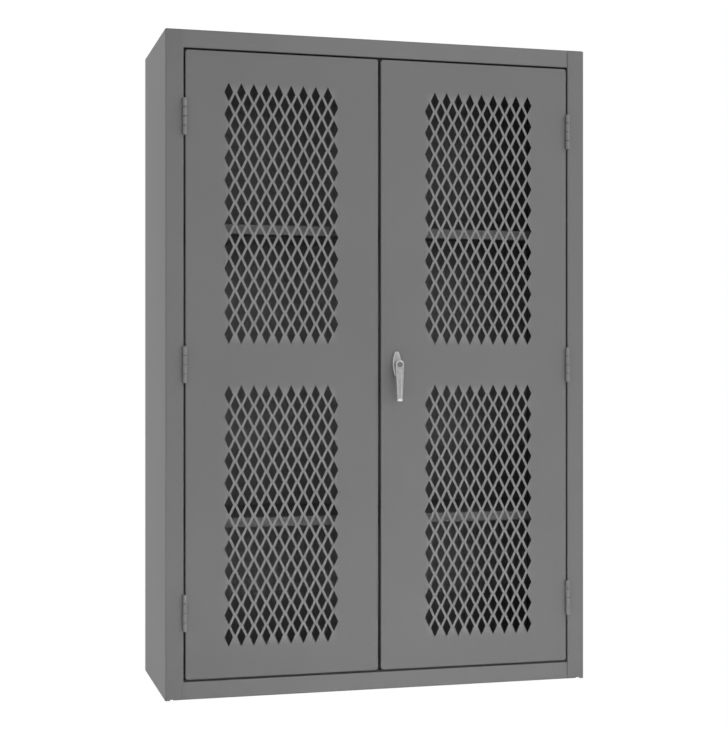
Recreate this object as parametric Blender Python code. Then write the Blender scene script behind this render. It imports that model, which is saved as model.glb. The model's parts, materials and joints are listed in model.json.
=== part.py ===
# A two-door ventilated steel storage cabinet, built from its real sheet-metal pieces.
# Metres, +Z up, the doors face -Y. The origin is on the floor under the middle of the
# cabinet, its handle included. A depth is measured back from the front face of the doors.
import math

import bmesh
import bpy
from mathutils import Vector

MM = 0.001

# The sheet that everything is bent from
SHEET = 1.9 * MM
BEND_RADIUS = 1.3 * MM
BEND_STEPS = 2
FIT = 0.3 * MM
OVERRUN = 5.0 * MM
SHARP_ANGLE = 40

# The case
CASE_WIDTH = 1219.2 * MM
CASE_DEPTH = 457.2 * MM
CASE_HEIGHT = 1828.8 * MM
STILE_WIDTH = 49.6 * MM
HEADER_HEIGHT = 50.8 * MM
SILL_HEIGHT = 49.6 * MM
FLANGE_LAP = 27.6 * MM
REAR_FLANGE = 20.0 * MM
BASE_FLANGE = 22.0 * MM
STILE_CORNER = 9.0 * MM
STILE_CORNER_STEPS = 4
STILE_TOP_TRIM = 4.0 * MM
STILE_END_TRIM = 3.2 * MM
STILE_NOTCH_START = 12.7 * MM
STOP_HEIGHT = 24.0 * MM
STOP_FOOT = 15.0 * MM

# The doors
DOOR_GAP = 4.8 * MM
MEETING_GAP = 8.0 * MM
MEETING_OFFSET = -6.9 * MM
DOOR_DEPTH = 22.0 * MM
DOOR_LIP = 12.0 * MM
STOP_CLEARANCE = 2.5 * MM
DOOR_CORNER = 8.0 * MM
LEAST_CORNER = 0.4 * MM
PAN_CORNER_STEPS = 3

# The diamond perforations
DIAMOND_WIDTH = 23.4 * MM
DIAMOND_HEIGHT = 49.7 * MM
DIAMOND_PITCH = 34.93 * MM
DIAMOND_ROW_PITCH = 30.24 * MM
GRILLE_HINGE_MARGIN = 107.8 * MM
GRILLE_END_MARGIN = 87.0 * MM
GRILLE_MID_RAIL = 116.2 * MM

# The hat-shaped stiffeners inside the doors
HAT_WIDTH = 22.0 * MM
HAT_DEPTH = 14.0 * MM
HAT_FLANGE = 9.0 * MM
HAT_END_GAP = 6.0 * MM
FITTING_GAP = 10.2 * MM

# The hinges
HINGE_LENGTH = 101.6 * MM
HINGE_END_OFFSET = 183.5 * MM
KNUCKLE_COUNT = 4
KNUCKLE_GAP = 0.6 * MM
KNUCKLE_PLAY = 0.5 * MM
BARREL_RADIUS = 6.1 * MM
BARREL_SIDES = 10
HINGE_PIN_RADIUS = 3.0 * MM
HINGE_PIN_SIDES = 8
PIN_PLAY = 0.15 * MM
LEAF_GAP = 0.4 * MM
LEAF_DEPTH = 20.0 * MM

# The shelves and what carries them
SHELF_HEIGHT = 27.0 * MM
SHELF_LIP = 12.0 * MM
SHELF_CORNER = 4.0 * MM
SHELF_SETBACK = 56.0 * MM
SHELF_REAR_GAP = 8.0 * MM
SHELF_END_GAP = 2.0 * MM
UPPER_SHELF_LEVEL = 1304.8 * MM
LOWER_SHELF_LEVEL = 487.7 * MM
STANDARD_WIDTH = 22.0 * MM
STANDARD_DEPTH = 10.0 * MM
STANDARD_SETBACK = 84.0 * MM
STANDARD_END_GAP = 24.0 * MM
SLOT_WIDTH = 8.0 * MM
SLOT_HEIGHT = 17.0 * MM
SLOTS_BETWEEN_SHELVES = 10
CLIP_WIDTH = 6.6 * MM
CLIP_REACH = 14.0 * MM
CLIP_NOSE = 3.0 * MM
CLIP_HOOK = 4.5 * MM
CLIP_DROP = 20.0 * MM

# The handle and its lock
HANDLE_BACKSET = 45.0 * MM
HANDLE_REACH = 40.0 * MM
LEVER_THICKNESS = 10.0 * MM
LEVER_HEAD_RADIUS = 12.5 * MM
LEVER_HEAD_STEPS = 10
LEVER_DROP = 102.5 * MM
LEVER_TIP_WIDTH = 14.8 * MM
LEVER_TIP_CORNER = 2.0 * MM
LEVER_BEVEL = 1.6 * MM
TIP_BEVEL_HEIGHT = 7.0 * MM
TIP_BEVEL_DEPTH = 4.0 * MM
GROOVE_WIDTH = 4.4 * MM
GROOVE_DEPTH = 0.8 * MM
GROOVE_START = 18.0 * MM
GROOVE_END = 92.0 * MM
HUB_RADIUS = 7.5 * MM
HUB_PLAY = 0.5 * MM
HUB_LAP = 2.5 * MM
ROUND_SIDES = 16
ESCUTCHEON_HEIGHT = 69.0 * MM
ESCUTCHEON_RISE = 2.5 * MM
ESCUTCHEON_WIDTH = 24.4 * MM
ESCUTCHEON_END_WIDTH = 10.4 * MM
ESCUTCHEON_THICKNESS = 8.0 * MM
ESCUTCHEON_CHAMFER = 1.6 * MM
ESCUTCHEON_RIM = 1.2 * MM
ESCUTCHEON_DISH = 1.5 * MM
ESCUTCHEON_SIDE_STEPS = 6
SCREW_SPACING = 50.0 * MM
SCREW_RADIUS = 2.0 * MM
SCREW_LENGTH = 5.0 * MM
SCREW_HEAD_RADIUS = 3.8 * MM
SCREW_HEAD_HEIGHT = 2.2 * MM
SCREW_SIDES = 8
LOCK_RADIUS = 7.8 * MM
LOCK_DEPTH = 8.0 * MM
LOCK_RECESS = 0.4 * MM
PLUG_RADIUS = 5.6 * MM
PLUG_PLAY = 0.2 * MM
KEYWAY_LENGTH = 7.0 * MM
KEYWAY_WIDTH = 1.6 * MM
KEYWAY_DEPTH = 4.0 * MM
SPINDLE_SIDE = 8.0 * MM
SPINDLE_CHAMFER = 0.8 * MM
SPINDLE_HOLE_RADIUS = 7.5 * MM
SOCKET_DEPTH = 12.0 * MM

# The three-point latch
ROD_RADIUS = 4.76 * MM
ROD_SIDES = 12
ROD_PLAY = 0.6 * MM
ROD_TAPER = 3.0 * MM
ROD_TIP_RADIUS = 3.2 * MM
BOLT_CLEARANCE = 2.0 * MM
CAM_SHEET = 3.0 * MM
CAM_CLEARANCE = 1.2 * MM
CAM_RADIUS = 21.0 * MM
CAM_SIDES = 20
CAM_PIN_CIRCLE = 16.0 * MM
CAM_PIN_RADIUS = 2.5 * MM
CAM_PIN_HEAD_RADIUS = 3.9 * MM
CAM_PIN_HEAD = 1.2 * MM
CAM_PIN_LAP = 1.5 * MM
TONGUE_WIDTH = 18.0 * MM
TONGUE_LAP = 9.0 * MM
TONGUE_CORNER = 4.0 * MM
CORNER_STEPS = 2
TAB_SHEET = 3.0 * MM
TAB_PLAY = 0.5 * MM
TAB_WALL = 2.2 * MM
TAB_NECK = 16.0 * MM
TAB_CORNER_STEPS = 1
YOKE_PLAY = 0.3 * MM
YOKE_SWAY_SHARE = 0.03
NUT_RADIUS = 5.2 * MM
NUT_HEIGHT = 2.8 * MM
NUT_SIDES = 6
STUB_RADIUS = 2.2 * MM
STUB_END = 1.0 * MM
GUIDE_WIDTH = 22.0 * MM
GUIDE_FOOT = 26.0 * MM
GUIDE_WALL = 5.0 * MM
GUIDE_END_OFFSET = 70.0 * MM

# Places that follow from the sizes above
OUTER_BEND = BEND_RADIUS + SHEET
FRONT = -(CASE_DEPTH - HANDLE_REACH) / 2
HALF_WIDTH = CASE_WIDTH / 2
OPENING_HALF = HALF_WIDTH - STILE_WIDTH
OPENING_TOP = CASE_HEIGHT - HEADER_HEIGHT
FLANGE_SETBACK = OUTER_BEND + FIT
INNER_HALF = HALF_WIDTH - SHEET - FIT
BACK_FACE = CASE_DEPTH - SHEET - FIT
STOP_DEPTH = DOOR_DEPTH + STOP_CLEARANCE
STOP_BACK = STOP_DEPTH + SHEET
DOOR_BOTTOM = SILL_HEIGHT + DOOR_GAP
DOOR_TOP = OPENING_TOP - DOOR_GAP
DOOR_MIDDLE = (DOOR_BOTTOM + DOOR_TOP) / 2
DOOR_OUTER = OPENING_HALF - DOOR_GAP
SLOT_PITCH = (UPPER_SHELF_LEVEL - LOWER_SHELF_LEVEL) / SLOTS_BETWEEN_SHELVES
DOOR_FREE = {-1: MEETING_OFFSET - MEETING_GAP / 2, 1: MEETING_OFFSET + MEETING_GAP / 2}
HINGE_X = OPENING_HALF - DOOR_GAP / 2
HINGE_DEPTH = -(BARREL_RADIUS + FIT)
LEAF_SHEET = (DOOR_GAP - LEAF_GAP) / 2 - FIT
LEAF_FRONT = BARREL_RADIUS + KNUCKLE_PLAY
HINGE_LEVELS = {
    "upper": DOOR_TOP - HINGE_END_OFFSET,
    "middle": DOOR_MIDDLE,
    "lower": DOOR_BOTTOM + HINGE_END_OFFSET,
}
HANDLE_X = DOOR_FREE[1] + HANDLE_BACKSET
PIN_RISE = CAM_PIN_CIRCLE / math.sqrt(2)
ROD_OFFSET = (CAM_PIN_CIRCLE + PIN_RISE) / 2
CAM_FRONT = DOOR_DEPTH + CAM_CLEARANCE
CAM_BACK = CAM_FRONT + CAM_SHEET
TAB_FRONT = CAM_BACK + TAB_PLAY
TAB_BACK = TAB_FRONT + TAB_SHEET
ROD_DEPTH = STOP_BACK + ROD_PLAY + ROD_RADIUS
ROD_TIPS = {
    1: OPENING_TOP - STOP_HEIGHT - BOLT_CLEARANCE,
    -1: SILL_HEIGHT + STOP_HEIGHT + BOLT_CLEARANCE,
}
HAT_SPAN = HAT_WIDTH + 2 * HAT_FLANGE
HAT_START = HANDLE_X + ROD_OFFSET + GUIDE_WIDTH / 2 + FITTING_GAP
GRILLE_START = HAT_START + HAT_SPAN + FITTING_GAP
HUB_END = -(FIT + HUB_PLAY)

CASE_PAINT = ("case_paint", (0.180, 0.180, 0.180), 0.5, 0.0)
SHELF_PAINT = ("shelf_paint", (0.180, 0.180, 0.180), 0.5, 0.0)
CAST_ZINC = ("cast_zinc", (0.52, 0.52, 0.53), 0.35, 0.9)
LOCK_STEEL = ("lock_steel", (0.15, 0.15, 0.16), 0.4, 0.9)
PLATED_STEEL = ("plated_steel", (0.45, 0.45, 0.45), 0.35, 0.9)


def material(finish):
    name, colour, roughness, metallic = finish
    made = bpy.data.materials.get(name)
    if made is None:
        made = bpy.data.materials.new(name)
        made.use_nodes = True
        shader = made.node_tree.nodes["Principled BSDF"]
        shader.inputs["Base Color"].default_value = (*colour, 1.0)
        shader.inputs["Roughness"].default_value = roughness
        shader.inputs["Metallic"].default_value = metallic
    return made


def world_place(item):
    """Where an unturned object stands, its parents' places added up."""
    return item.location + (world_place(item.parent) if item.parent else Vector())


def add_axis(name, x, depth, z, carrier=None):
    """An empty on a joint's axis, which carries the pieces that move with it."""
    axis = bpy.data.objects.new(name, None)
    axis.location = Vector((x, FRONT + depth, z))
    if carrier is not None:
        axis.location -= world_place(carrier)
        axis.parent = carrier
    bpy.context.scene.collection.objects.link(axis)
    return axis


def add_piece(name, bm, finish, axis=None):
    """Turns a bmesh drawn in world places into a named object carried by an axis."""
    bmesh.ops.recalc_face_normals(bm, faces=bm.faces)
    if axis is not None:
        bmesh.ops.translate(bm, verts=bm.verts, vec=-world_place(axis))
    mesh = bpy.data.meshes.new(name)
    bm.to_mesh(mesh)
    bm.free()
    mesh.shade_smooth()
    mesh.set_sharp_from_angle(angle=math.radians(SHARP_ANGLE))
    mesh.materials.append(material(finish))
    piece = bpy.data.objects.new(name, mesh)
    piece.parent = axis
    bpy.context.scene.collection.objects.link(piece)
    return piece


def combine(piece, bm, operation):
    """Cuts a bmesh out of a piece, or joins it on, with a Boolean modifier."""
    tool = add_piece(piece.name + "." + operation.lower(), bm, CASE_PAINT, piece.parent)
    tool.hide_render = True
    tool.display_type = "WIRE"
    modifier = piece.modifiers.new(operation.title(), "BOOLEAN")
    modifier.operation = operation
    modifier.solver = "EXACT"
    modifier.object = tool


def world_point(axis, across, up, along):
    """An outline's point in the world. Outlines square to X hold (depth, z), those square
    to Y hold (x, z) and those square to Z hold (x, depth)."""
    if axis == "X":
        x, depth, z = along, across, up
    elif axis == "Y":
        x, depth, z = across, along, up
    else:
        x, depth, z = across, up, along
    return (x, FRONT + depth, z)


def add_loop(bm, axis, outline, along):
    return [bm.verts.new(world_point(axis, across, up, along)) for across, up in outline]


def bridge(bm, near, far):
    for i in range(len(near)):
        bm.faces.new((near[i - 1], near[i], far[i], far[i - 1]))


def cap(bm, rim, holes=()):
    """Fills a flat rim, leaving its holes open."""
    if not holes:
        bm.faces.new(rim)
        return
    edges = []
    for loop in (rim, *holes):
        for i in range(len(loop)):
            pair = (loop[i - 1], loop[i])
            edges.append(bm.edges.get(pair) or bm.edges.new(pair))
    bmesh.ops.triangle_fill(bm, edges=edges, use_beauty=True)


def stack(bm, axis, sections, holes=()):
    """A solid through a stack of like outlines, each given with its place on the axis.
    Holes run straight through from the first outline to the last."""
    rims = [add_loop(bm, axis, outline, along) for outline, along in sections]
    for near, far in zip(rims, rims[1:]):
        bridge(bm, near, far)
    ends = (sections[0][1], sections[-1][1])
    bores = [[add_loop(bm, axis, hole, along) for hole in holes] for along in ends]
    for near, far in zip(*bores):
        bridge(bm, near, far)
    cap(bm, rims[0], bores[0])
    cap(bm, rims[-1], bores[1])
    return bm


def sweep(bm, axis, outline, start, end, holes=()):
    """A solid of one outline from start to end along an axis."""
    return stack(bm, axis, [(outline, start), (outline, end)], holes)


def box(bm, x, depth, z):
    """A block between two values each of x, depth and z."""
    outline = [(x[0], z[0]), (x[1], z[0]), (x[1], z[1]), (x[0], z[1])]
    return sweep(bm, "Y", outline, depth[0], depth[1])


def arc(centre, radius, start, end, steps):
    """Points along an arc, from one angle to another in degrees."""
    points = []
    for i in range(steps + 1):
        angle = math.radians(start + (end - start) * i / steps)
        points.append((centre[0] + radius * math.cos(angle), centre[1] + radius * math.sin(angle)))
    return points


def circle(centre, radius, sides):
    """A regular outline with its corners on the circle."""
    half_side = 180 / sides
    return arc(centre, radius, half_side, 360 + half_side, sides)[:-1]


def bore(centre, radius, sides):
    """A regular outline with its flats on the circle, for a hole that a pin runs in."""
    return circle(centre, radius / math.cos(math.pi / sides), sides)


def rounded_rectangle(left, right, low, high, radius, steps):
    points = arc((right - radius, high - radius), radius, 0, 90, steps)
    points += arc((left + radius, high - radius), radius, 90, 180, steps)
    points += arc((left + radius, low + radius), radius, 180, 270, steps)
    points += arc((right - radius, low + radius), radius, 270, 360, steps)
    return points


def bent_sheet(path, side):
    """The outline of a sheet bent along a path, which is one face of it. The sheet lies on
    the left of the path where side is 1, and on its right where side is -1."""
    face, back = [], []
    last = len(path) - 1
    for i, (across, up) in enumerate(path):
        before, after = path[max(i, 1) - 1], path[max(i, 1)]
        way = Vector((after[0] - before[0], after[1] - before[1])).normalized()
        left = Vector((-way.y, way.x))
        if i in (0, last):
            face.append((across, up))
            back.append((across + side * SHEET * left.x, up + side * SHEET * left.y))
            continue
        onward = Vector((path[i + 1][0] - across, path[i + 1][1] - up)).normalized()
        turn = math.copysign(1, way.x * onward.y - way.y * onward.x)
        radius, other = (OUTER_BEND, BEND_RADIUS) if turn == side else (BEND_RADIUS, OUTER_BEND)
        centre = Vector((across, up)) + radius * (turn * left - way)
        start = math.degrees(math.atan2(-turn * left.y, -turn * left.x))
        face += arc(centre, radius, start, start + 90 * turn, BEND_STEPS)
        back += arc(centre, other, start, start + 90 * turn, BEND_STEPS)
    return face + back[::-1]


def pan(bm, axis, sides, corner, skin, away, height, lip, holes=()):
    """A shallow tray bent from one sheet: a skin, four walls and a lip turned in all round.
    sides holds its left, right, low and high edges, corner is the radius where they meet,
    skin is where the skin's outer face stands on the axis, and away says which way the
    walls go from it, 1 or -1."""
    bends = [math.radians(90 * i / BEND_STEPS) for i in range(BEND_STEPS + 1)]
    levels = [
        (OUTER_BEND * (1 - math.sin(turn)), OUTER_BEND * (1 - math.cos(turn))) for turn in bends
    ]
    levels += [
        (OUTER_BEND * (1 - math.cos(turn)), height - OUTER_BEND * (1 - math.sin(turn)))
        for turn in bends
    ]
    levels += [(lip, height), (lip, height - SHEET)]
    levels += [
        (OUTER_BEND - BEND_RADIUS * math.sin(turn), height - OUTER_BEND + BEND_RADIUS * math.cos(turn))
        for turn in bends
    ]
    levels += [
        (OUTER_BEND - BEND_RADIUS * math.cos(turn), OUTER_BEND - BEND_RADIUS * math.sin(turn))
        for turn in bends
    ]
    left, right, low, high = sides
    rims = []
    for inset, level in levels:
        radius = max(corner - inset, LEAST_CORNER)
        edges = (left + inset, right - inset, low + inset, high - inset)
        outline = rounded_rectangle(*edges, radius, PAN_CORNER_STEPS)
        rims.append(add_loop(bm, axis, outline, skin + away * level))
    for near, far in zip(rims, rims[1:]):
        bridge(bm, near, far)
    bores = [[add_loop(bm, axis, hole, skin + away * level) for hole in holes] for level in (0, SHEET)]
    for near, far in zip(*bores):
        bridge(bm, near, far)
    cap(bm, rims[0], bores[0])
    cap(bm, rims[-1], bores[1])
    return bm


def side_panel(name, side):
    """A side wall with its rear flange, the front stile and the stile's return beside the
    door. Above and below the opening the stile keeps its bend and loses its return, and it
    is trimmed round the corner, clear of the roof's bend and of the floor."""
    outer, inner = side * HALF_WIDTH, side * OPENING_HALF
    path = [
        (outer - side * REAR_FLANGE, CASE_DEPTH),
        (outer, CASE_DEPTH),
        (outer, 0),
        (inner, 0),
        (inner, STOP_BACK),
    ]
    wall_top = CASE_HEIGHT - SHEET
    panel = add_piece(name, sweep(bmesh.new(), "Z", bent_sheet(path, -side), 0, wall_top), CASE_PAINT)
    clear, past = inner - side * OVERRUN, outer + side * OVERRUN
    middle = inner + side * STILE_CORNER
    notch = outer - side * STILE_NOTCH_START
    start = 0 if side < 0 else 180
    trim = CASE_HEIGHT - STILE_TOP_TRIM
    high, low = trim - STILE_CORNER, STILE_END_TRIM + STILE_CORNER
    top = [(clear, CASE_HEIGHT), (clear, high)]
    top += arc((middle, high), STILE_CORNER, start, 90, STILE_CORNER_STEPS)
    top += [(past, trim), (past, CASE_HEIGHT)]
    bottom = [(clear, -OVERRUN), (clear, low)]
    bottom += arc((middle, low), STILE_CORNER, -start, -90, STILE_CORNER_STEPS)
    bottom += [(notch, STILE_END_TRIM), (notch, -OVERRUN)]
    trims, returns = bmesh.new(), bmesh.new()
    for outline in (top, bottom):
        sweep(trims, "Y", outline, -OVERRUN, OUTER_BEND)
    across = (clear, inner + side * OUTER_BEND)
    for levels in ((-OVERRUN, SILL_HEIGHT + 2 * FIT), (OPENING_TOP - 2 * FIT, CASE_HEIGHT)):
        box(returns, across, (OUTER_BEND, STOP_BACK + OVERRUN), levels)
    combine(panel, trims, "DIFFERENCE")
    combine(panel, returns, "DIFFERENCE")


def end_notches(low, high, rear_low, rear_high):
    """What is cut from both ends of the top and bottom panels: the front flange, down to
    where it laps the stiles, and the rear flange, where the sides have theirs."""
    tool = bmesh.new()
    for side in (-1, 1):
        lap = side * (OPENING_HALF + FLANGE_LAP)
        past = side * (HALF_WIDTH + OVERRUN)
        box(tool, (lap, past), (-OVERRUN, STOP_BACK + OVERRUN), (low, high))
        flange = side * (HALF_WIDTH - REAR_FLANGE - FIT)
        rear = (CASE_DEPTH - OUTER_BEND - FIT, CASE_DEPTH + OVERRUN)
        box(tool, (flange, past), rear, (rear_low, rear_high))
    return tool


def top_panel():
    """The roof, the header, its return over the doors and the lip that they close against."""
    path = [
        (CASE_DEPTH, CASE_HEIGHT - REAR_FLANGE),
        (CASE_DEPTH, CASE_HEIGHT),
        (FLANGE_SETBACK, CASE_HEIGHT),
        (FLANGE_SETBACK, OPENING_TOP),
        (STOP_DEPTH, OPENING_TOP),
        (STOP_DEPTH, OPENING_TOP - STOP_HEIGHT),
    ]
    bm = sweep(bmesh.new(), "X", bent_sheet(path, 1), -INNER_HALF, INNER_HALF)
    panel = add_piece("top_panel", bm, CASE_PAINT)
    lowest = OPENING_TOP - STOP_HEIGHT - OVERRUN
    bend = CASE_HEIGHT - OUTER_BEND - FIT
    tool = end_notches(lowest, bend, CASE_HEIGHT - REAR_FLANGE - OVERRUN, CASE_HEIGHT + OVERRUN)
    combine(panel, tool, "DIFFERENCE")
    lip_ends = bmesh.new()
    for side in (-1, 1):
        reach = (side * (OPENING_HALF - FIT), side * (OPENING_HALF + FLANGE_LAP + OVERRUN))
        box(lip_ends, reach, (-OVERRUN, STOP_BACK + OVERRUN), (lowest, OPENING_TOP - FIT))
    combine(panel, lip_ends, "DIFFERENCE")


def bottom_panel():
    """The floor of the cabinet, the sill under the doors and the base flanges."""
    path = [
        (FLANGE_SETBACK + BASE_FLANGE, 0),
        (FLANGE_SETBACK, 0),
        (FLANGE_SETBACK, SILL_HEIGHT),
        (CASE_DEPTH, SILL_HEIGHT),
        (CASE_DEPTH, 0),
        (CASE_DEPTH - BASE_FLANGE, 0),
    ]
    bm = sweep(bmesh.new(), "X", bent_sheet(path, -1), -INNER_HALF, INNER_HALF)
    panel = add_piece("bottom_panel", bm, CASE_PAINT)
    bend = SILL_HEIGHT - OUTER_BEND - FIT
    tool = end_notches(-OVERRUN, bend, -OVERRUN, SILL_HEIGHT + OVERRUN)
    combine(panel, tool, "DIFFERENCE")


def back_panel():
    half = HALF_WIDTH - OUTER_BEND - FIT
    depths = (BACK_FACE - SHEET, BACK_FACE)
    levels = (SILL_HEIGHT + FIT, CASE_HEIGHT - OUTER_BEND - FIT)
    add_piece("back_panel", box(bmesh.new(), (-half, half), depths, levels), CASE_PAINT)


def sill_stop():
    """The angle on the cabinet's floor that the doors close against."""
    level = SILL_HEIGHT + FIT
    path = [(STOP_BACK - STOP_FOOT, level), (STOP_BACK, level), (STOP_BACK, SILL_HEIGHT + STOP_HEIGHT)]
    half = OPENING_HALF - FIT
    add_piece("sill_stop", sweep(bmesh.new(), "X", bent_sheet(path, 1), -half, half), CASE_PAINT)


def clip_levels(shelf_level):
    """A clip's seat under a shelf, the top and the bottom of its neck, and its hook's end."""
    seat = shelf_level - SHELF_HEIGHT - FIT
    neck_top = seat - CLIP_HOOK
    neck_low = neck_top - CLIP_HOOK
    return seat, neck_top, neck_low, neck_low - CLIP_HOOK


def shelf_standard(name, side, depth):
    """An upright channel on a side wall, with an even row of slots for the shelf clips."""
    wall = side * INNER_HALF
    web = wall - side * STANDARD_DEPTH
    path = [(wall, depth), (web, depth), (web, depth + STANDARD_WIDTH), (wall, depth + STANDARD_WIDTH)]
    low = SILL_HEIGHT + STANDARD_END_GAP
    high = CASE_HEIGHT - SHEET - STANDARD_END_GAP
    standard = add_piece(name, sweep(bmesh.new(), "Z", bent_sheet(path, -side), low, high), CASE_PAINT)
    slots = bmesh.new()
    middle = depth + STANDARD_WIDTH / 2
    _, neck_top, neck_low, _ = clip_levels(LOWER_SHELF_LEVEL)
    first = (neck_top + neck_low) / 2
    below = int((first - low - SLOT_HEIGHT) / SLOT_PITCH)
    above = int((high - first - SLOT_HEIGHT) / SLOT_PITCH)
    for i in range(-below, above + 1):
        level = first + i * SLOT_PITCH
        box(
            slots,
            (web - side * OVERRUN, web + side * OVERRUN),
            (middle - SLOT_WIDTH / 2, middle + SLOT_WIDTH / 2),
            (level - SLOT_HEIGHT / 2, level + SLOT_HEIGHT / 2),
        )
    combine(standard, slots, "DIFFERENCE")


def standard_depths():
    rear = CASE_DEPTH - STANDARD_SETBACK - STANDARD_WIDTH
    return {"front": STANDARD_SETBACK, "rear": rear}


def shelf(name, level):
    half = INNER_HALF - STANDARD_DEPTH - SHELF_END_GAP
    sides = (-half, half, SHELF_SETBACK, BACK_FACE - SHEET - SHELF_REAR_GAP)
    bm = pan(bmesh.new(), "Z", sides, SHELF_CORNER, level, -1, SHELF_HEIGHT, SHELF_LIP)
    add_piece(name, bm, SHELF_PAINT)


def shelf_clip(name, side, depth, level):
    """A hooked clip in a standard's slot, with its nose under a shelf's lip."""
    seat, neck_top, neck_low, hook_end = clip_levels(level)
    behind = -SHEET - FIT
    profile = [
        (CLIP_REACH, seat),
        (CLIP_REACH, seat - CLIP_NOSE),
        (FIT, seat - CLIP_DROP),
        (FIT, neck_low),
        (behind, neck_low),
        (behind, hook_end),
        (behind - CLIP_HOOK, hook_end),
        (behind - CLIP_HOOK, neck_top),
        (FIT, neck_top),
        (FIT, seat),
    ]
    web = side * (INNER_HALF - STANDARD_DEPTH)
    outline = [(web - side * out, z) for out, z in profile]
    middle = depth + STANDARD_WIDTH / 2
    bm = sweep(bmesh.new(), "Y", outline, middle - CLIP_WIDTH / 2, middle + CLIP_WIDTH / 2)
    add_piece(name, bm, PLATED_STEEL)


def diamonds(side):
    """The diamond holes of one door: two windows of rows, each row stepped sideways by half
    a pitch from the one below, and each door the mirror image of the other."""
    span = DOOR_OUTER - GRILLE_HINGE_MARGIN - GRILLE_START
    columns = round((span - DIAMOND_WIDTH - DIAMOND_PITCH / 2) / DIAMOND_PITCH) + 1
    outermost = GRILLE_START + span / 2 + (columns - 0.5) * DIAMOND_PITCH / 2
    window = (DOOR_TOP - DOOR_BOTTOM - GRILLE_MID_RAIL) / 2 - GRILLE_END_MARGIN
    rows = round((window - DIAMOND_HEIGHT) / DIAMOND_ROW_PITCH) + 1
    rise, reach = DIAMOND_HEIGHT / 2, DIAMOND_WIDTH / 2
    holes = []
    for way in (-1, 1):
        middle = DOOR_MIDDLE + way * (GRILLE_MID_RAIL + window) / 2
        for row in range(rows):
            z = middle + (row - (rows - 1) / 2) * DIAMOND_ROW_PITCH
            for column in range(columns):
                x = side * (outermost - (column + row % 2 / 2) * DIAMOND_PITCH)
                holes.append([(x + reach, z), (x, z + rise), (x - reach, z), (x, z - rise)])
    return holes


def door(name, side, axis, more_holes=()):
    edges = sorted((side * DOOR_OUTER, DOOR_FREE[side]))
    sides = (*edges, DOOR_BOTTOM, DOOR_TOP)
    holes = diamonds(side) + list(more_holes)
    bm = pan(bmesh.new(), "Y", sides, DOOR_CORNER, 0, 1, DOOR_DEPTH, DOOR_LIP, holes)
    add_piece(name, bm, CASE_PAINT, axis)


def door_stiffener(name, side, axis):
    """A hat-shaped upright inside a door, between its free edge and the perforations."""
    near = SHEET + FIT
    far = near + HAT_DEPTH
    stops = [HAT_START, HAT_START + HAT_FLANGE, HAT_START + HAT_FLANGE + HAT_WIDTH, HAT_START + HAT_SPAN]
    path = [
        (stops[0], near),
        (stops[1], near),
        (stops[1], far),
        (stops[2], far),
        (stops[2], near),
        (stops[3], near),
    ]
    outline = bent_sheet([(side * across, up) for across, up in path], side)
    ends = (DOOR_BOTTOM + HAT_END_GAP, DOOR_TOP - HAT_END_GAP)
    add_piece(name, sweep(bmesh.new(), "Z", outline, *ends), CASE_PAINT, axis)


def hinge_leaf(name, side, level, toward_door, first_knuckle, axis):
    """A flat leaf in the gap beside the door, rolled round the pin at every other knuckle.
    toward_door is 1 for the leaf on the door and -1 for the one on the stile."""
    near = toward_door * LEAF_GAP / 2
    far = near + toward_door * LEAF_SHEET
    start, end = sorted((near, far))
    back = LEAF_FRONT + LEAF_DEPTH
    middle = (side * HINGE_X, HINGE_DEPTH)

    def at(across, deep):
        return (middle[0] - side * across, middle[1] + deep)

    rise = [math.degrees(math.atan2(math.sqrt(BARREL_RADIUS**2 - a * a), a)) for a in (start, end)]
    ring = arc((0, 0), BARREL_RADIUS, rise[0], 360 + rise[1], BARREL_SIDES)
    ring = [at(*point) for point in ring]
    eye = [at(*point) for point in bore((0, 0), HINGE_PIN_RADIUS + PIN_PLAY, HINGE_PIN_SIDES)]
    plate = [at(start, LEAF_FRONT), at(start, back), at(end, back), at(end, LEAF_FRONT)]
    length = HINGE_LENGTH / KNUCKLE_COUNT
    top = level + HINGE_LENGTH / 2
    knuckles = [
        (top - (i + 1) * length + KNUCKLE_GAP / 2, top - i * length - KNUCKLE_GAP / 2)
        for i in range(first_knuckle, KNUCKLE_COUNT, 2)
    ]
    bm = bmesh.new()
    ends = (top - HINGE_LENGTH, top)
    stops = sorted({*ends, *(z for knuckle in knuckles for z in knuckle)})
    rims = {z: add_loop(bm, "Z", plate, z) for z in stops}
    for low, high in zip(stops, stops[1:]):
        rolled = (low, high) in knuckles
        for i in range(4):
            if i == 0 and rolled:
                continue
            corners = (rims[low][i - 1], rims[low][i], rims[high][i], rims[high][i - 1])
            bm.faces.new(corners)
    cap(bm, rims[ends[0]])
    cap(bm, rims[ends[1]])
    for knuckle in knuckles:
        rings = [add_loop(bm, "Z", ring, z) for z in knuckle]
        eyes = [add_loop(bm, "Z", eye, z) for z in knuckle]
        bridge(bm, *eyes)
        outlines = [[rims[z][0], *loop, rims[z][3]] for z, loop in zip(knuckle, rings)]
        for i in range(1, len(outlines[0])):
            near_pair, far_pair = outlines[0][i - 1 : i + 1], outlines[1][i - 1 : i + 1]
            bm.faces.new((*near_pair, *far_pair[::-1]))
        for outline, hole in zip(outlines, eyes):
            cap(bm, outline, [hole])
    add_piece(name, bm, CASE_PAINT, axis)


def hinge_pin(name, side, level):
    outline = circle((side * HINGE_X, HINGE_DEPTH), HINGE_PIN_RADIUS, HINGE_PIN_SIDES)
    half = HINGE_LENGTH / 2
    add_piece(name, sweep(bmesh.new(), "Z", outline, level - half, level + half), PLATED_STEEL)


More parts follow.
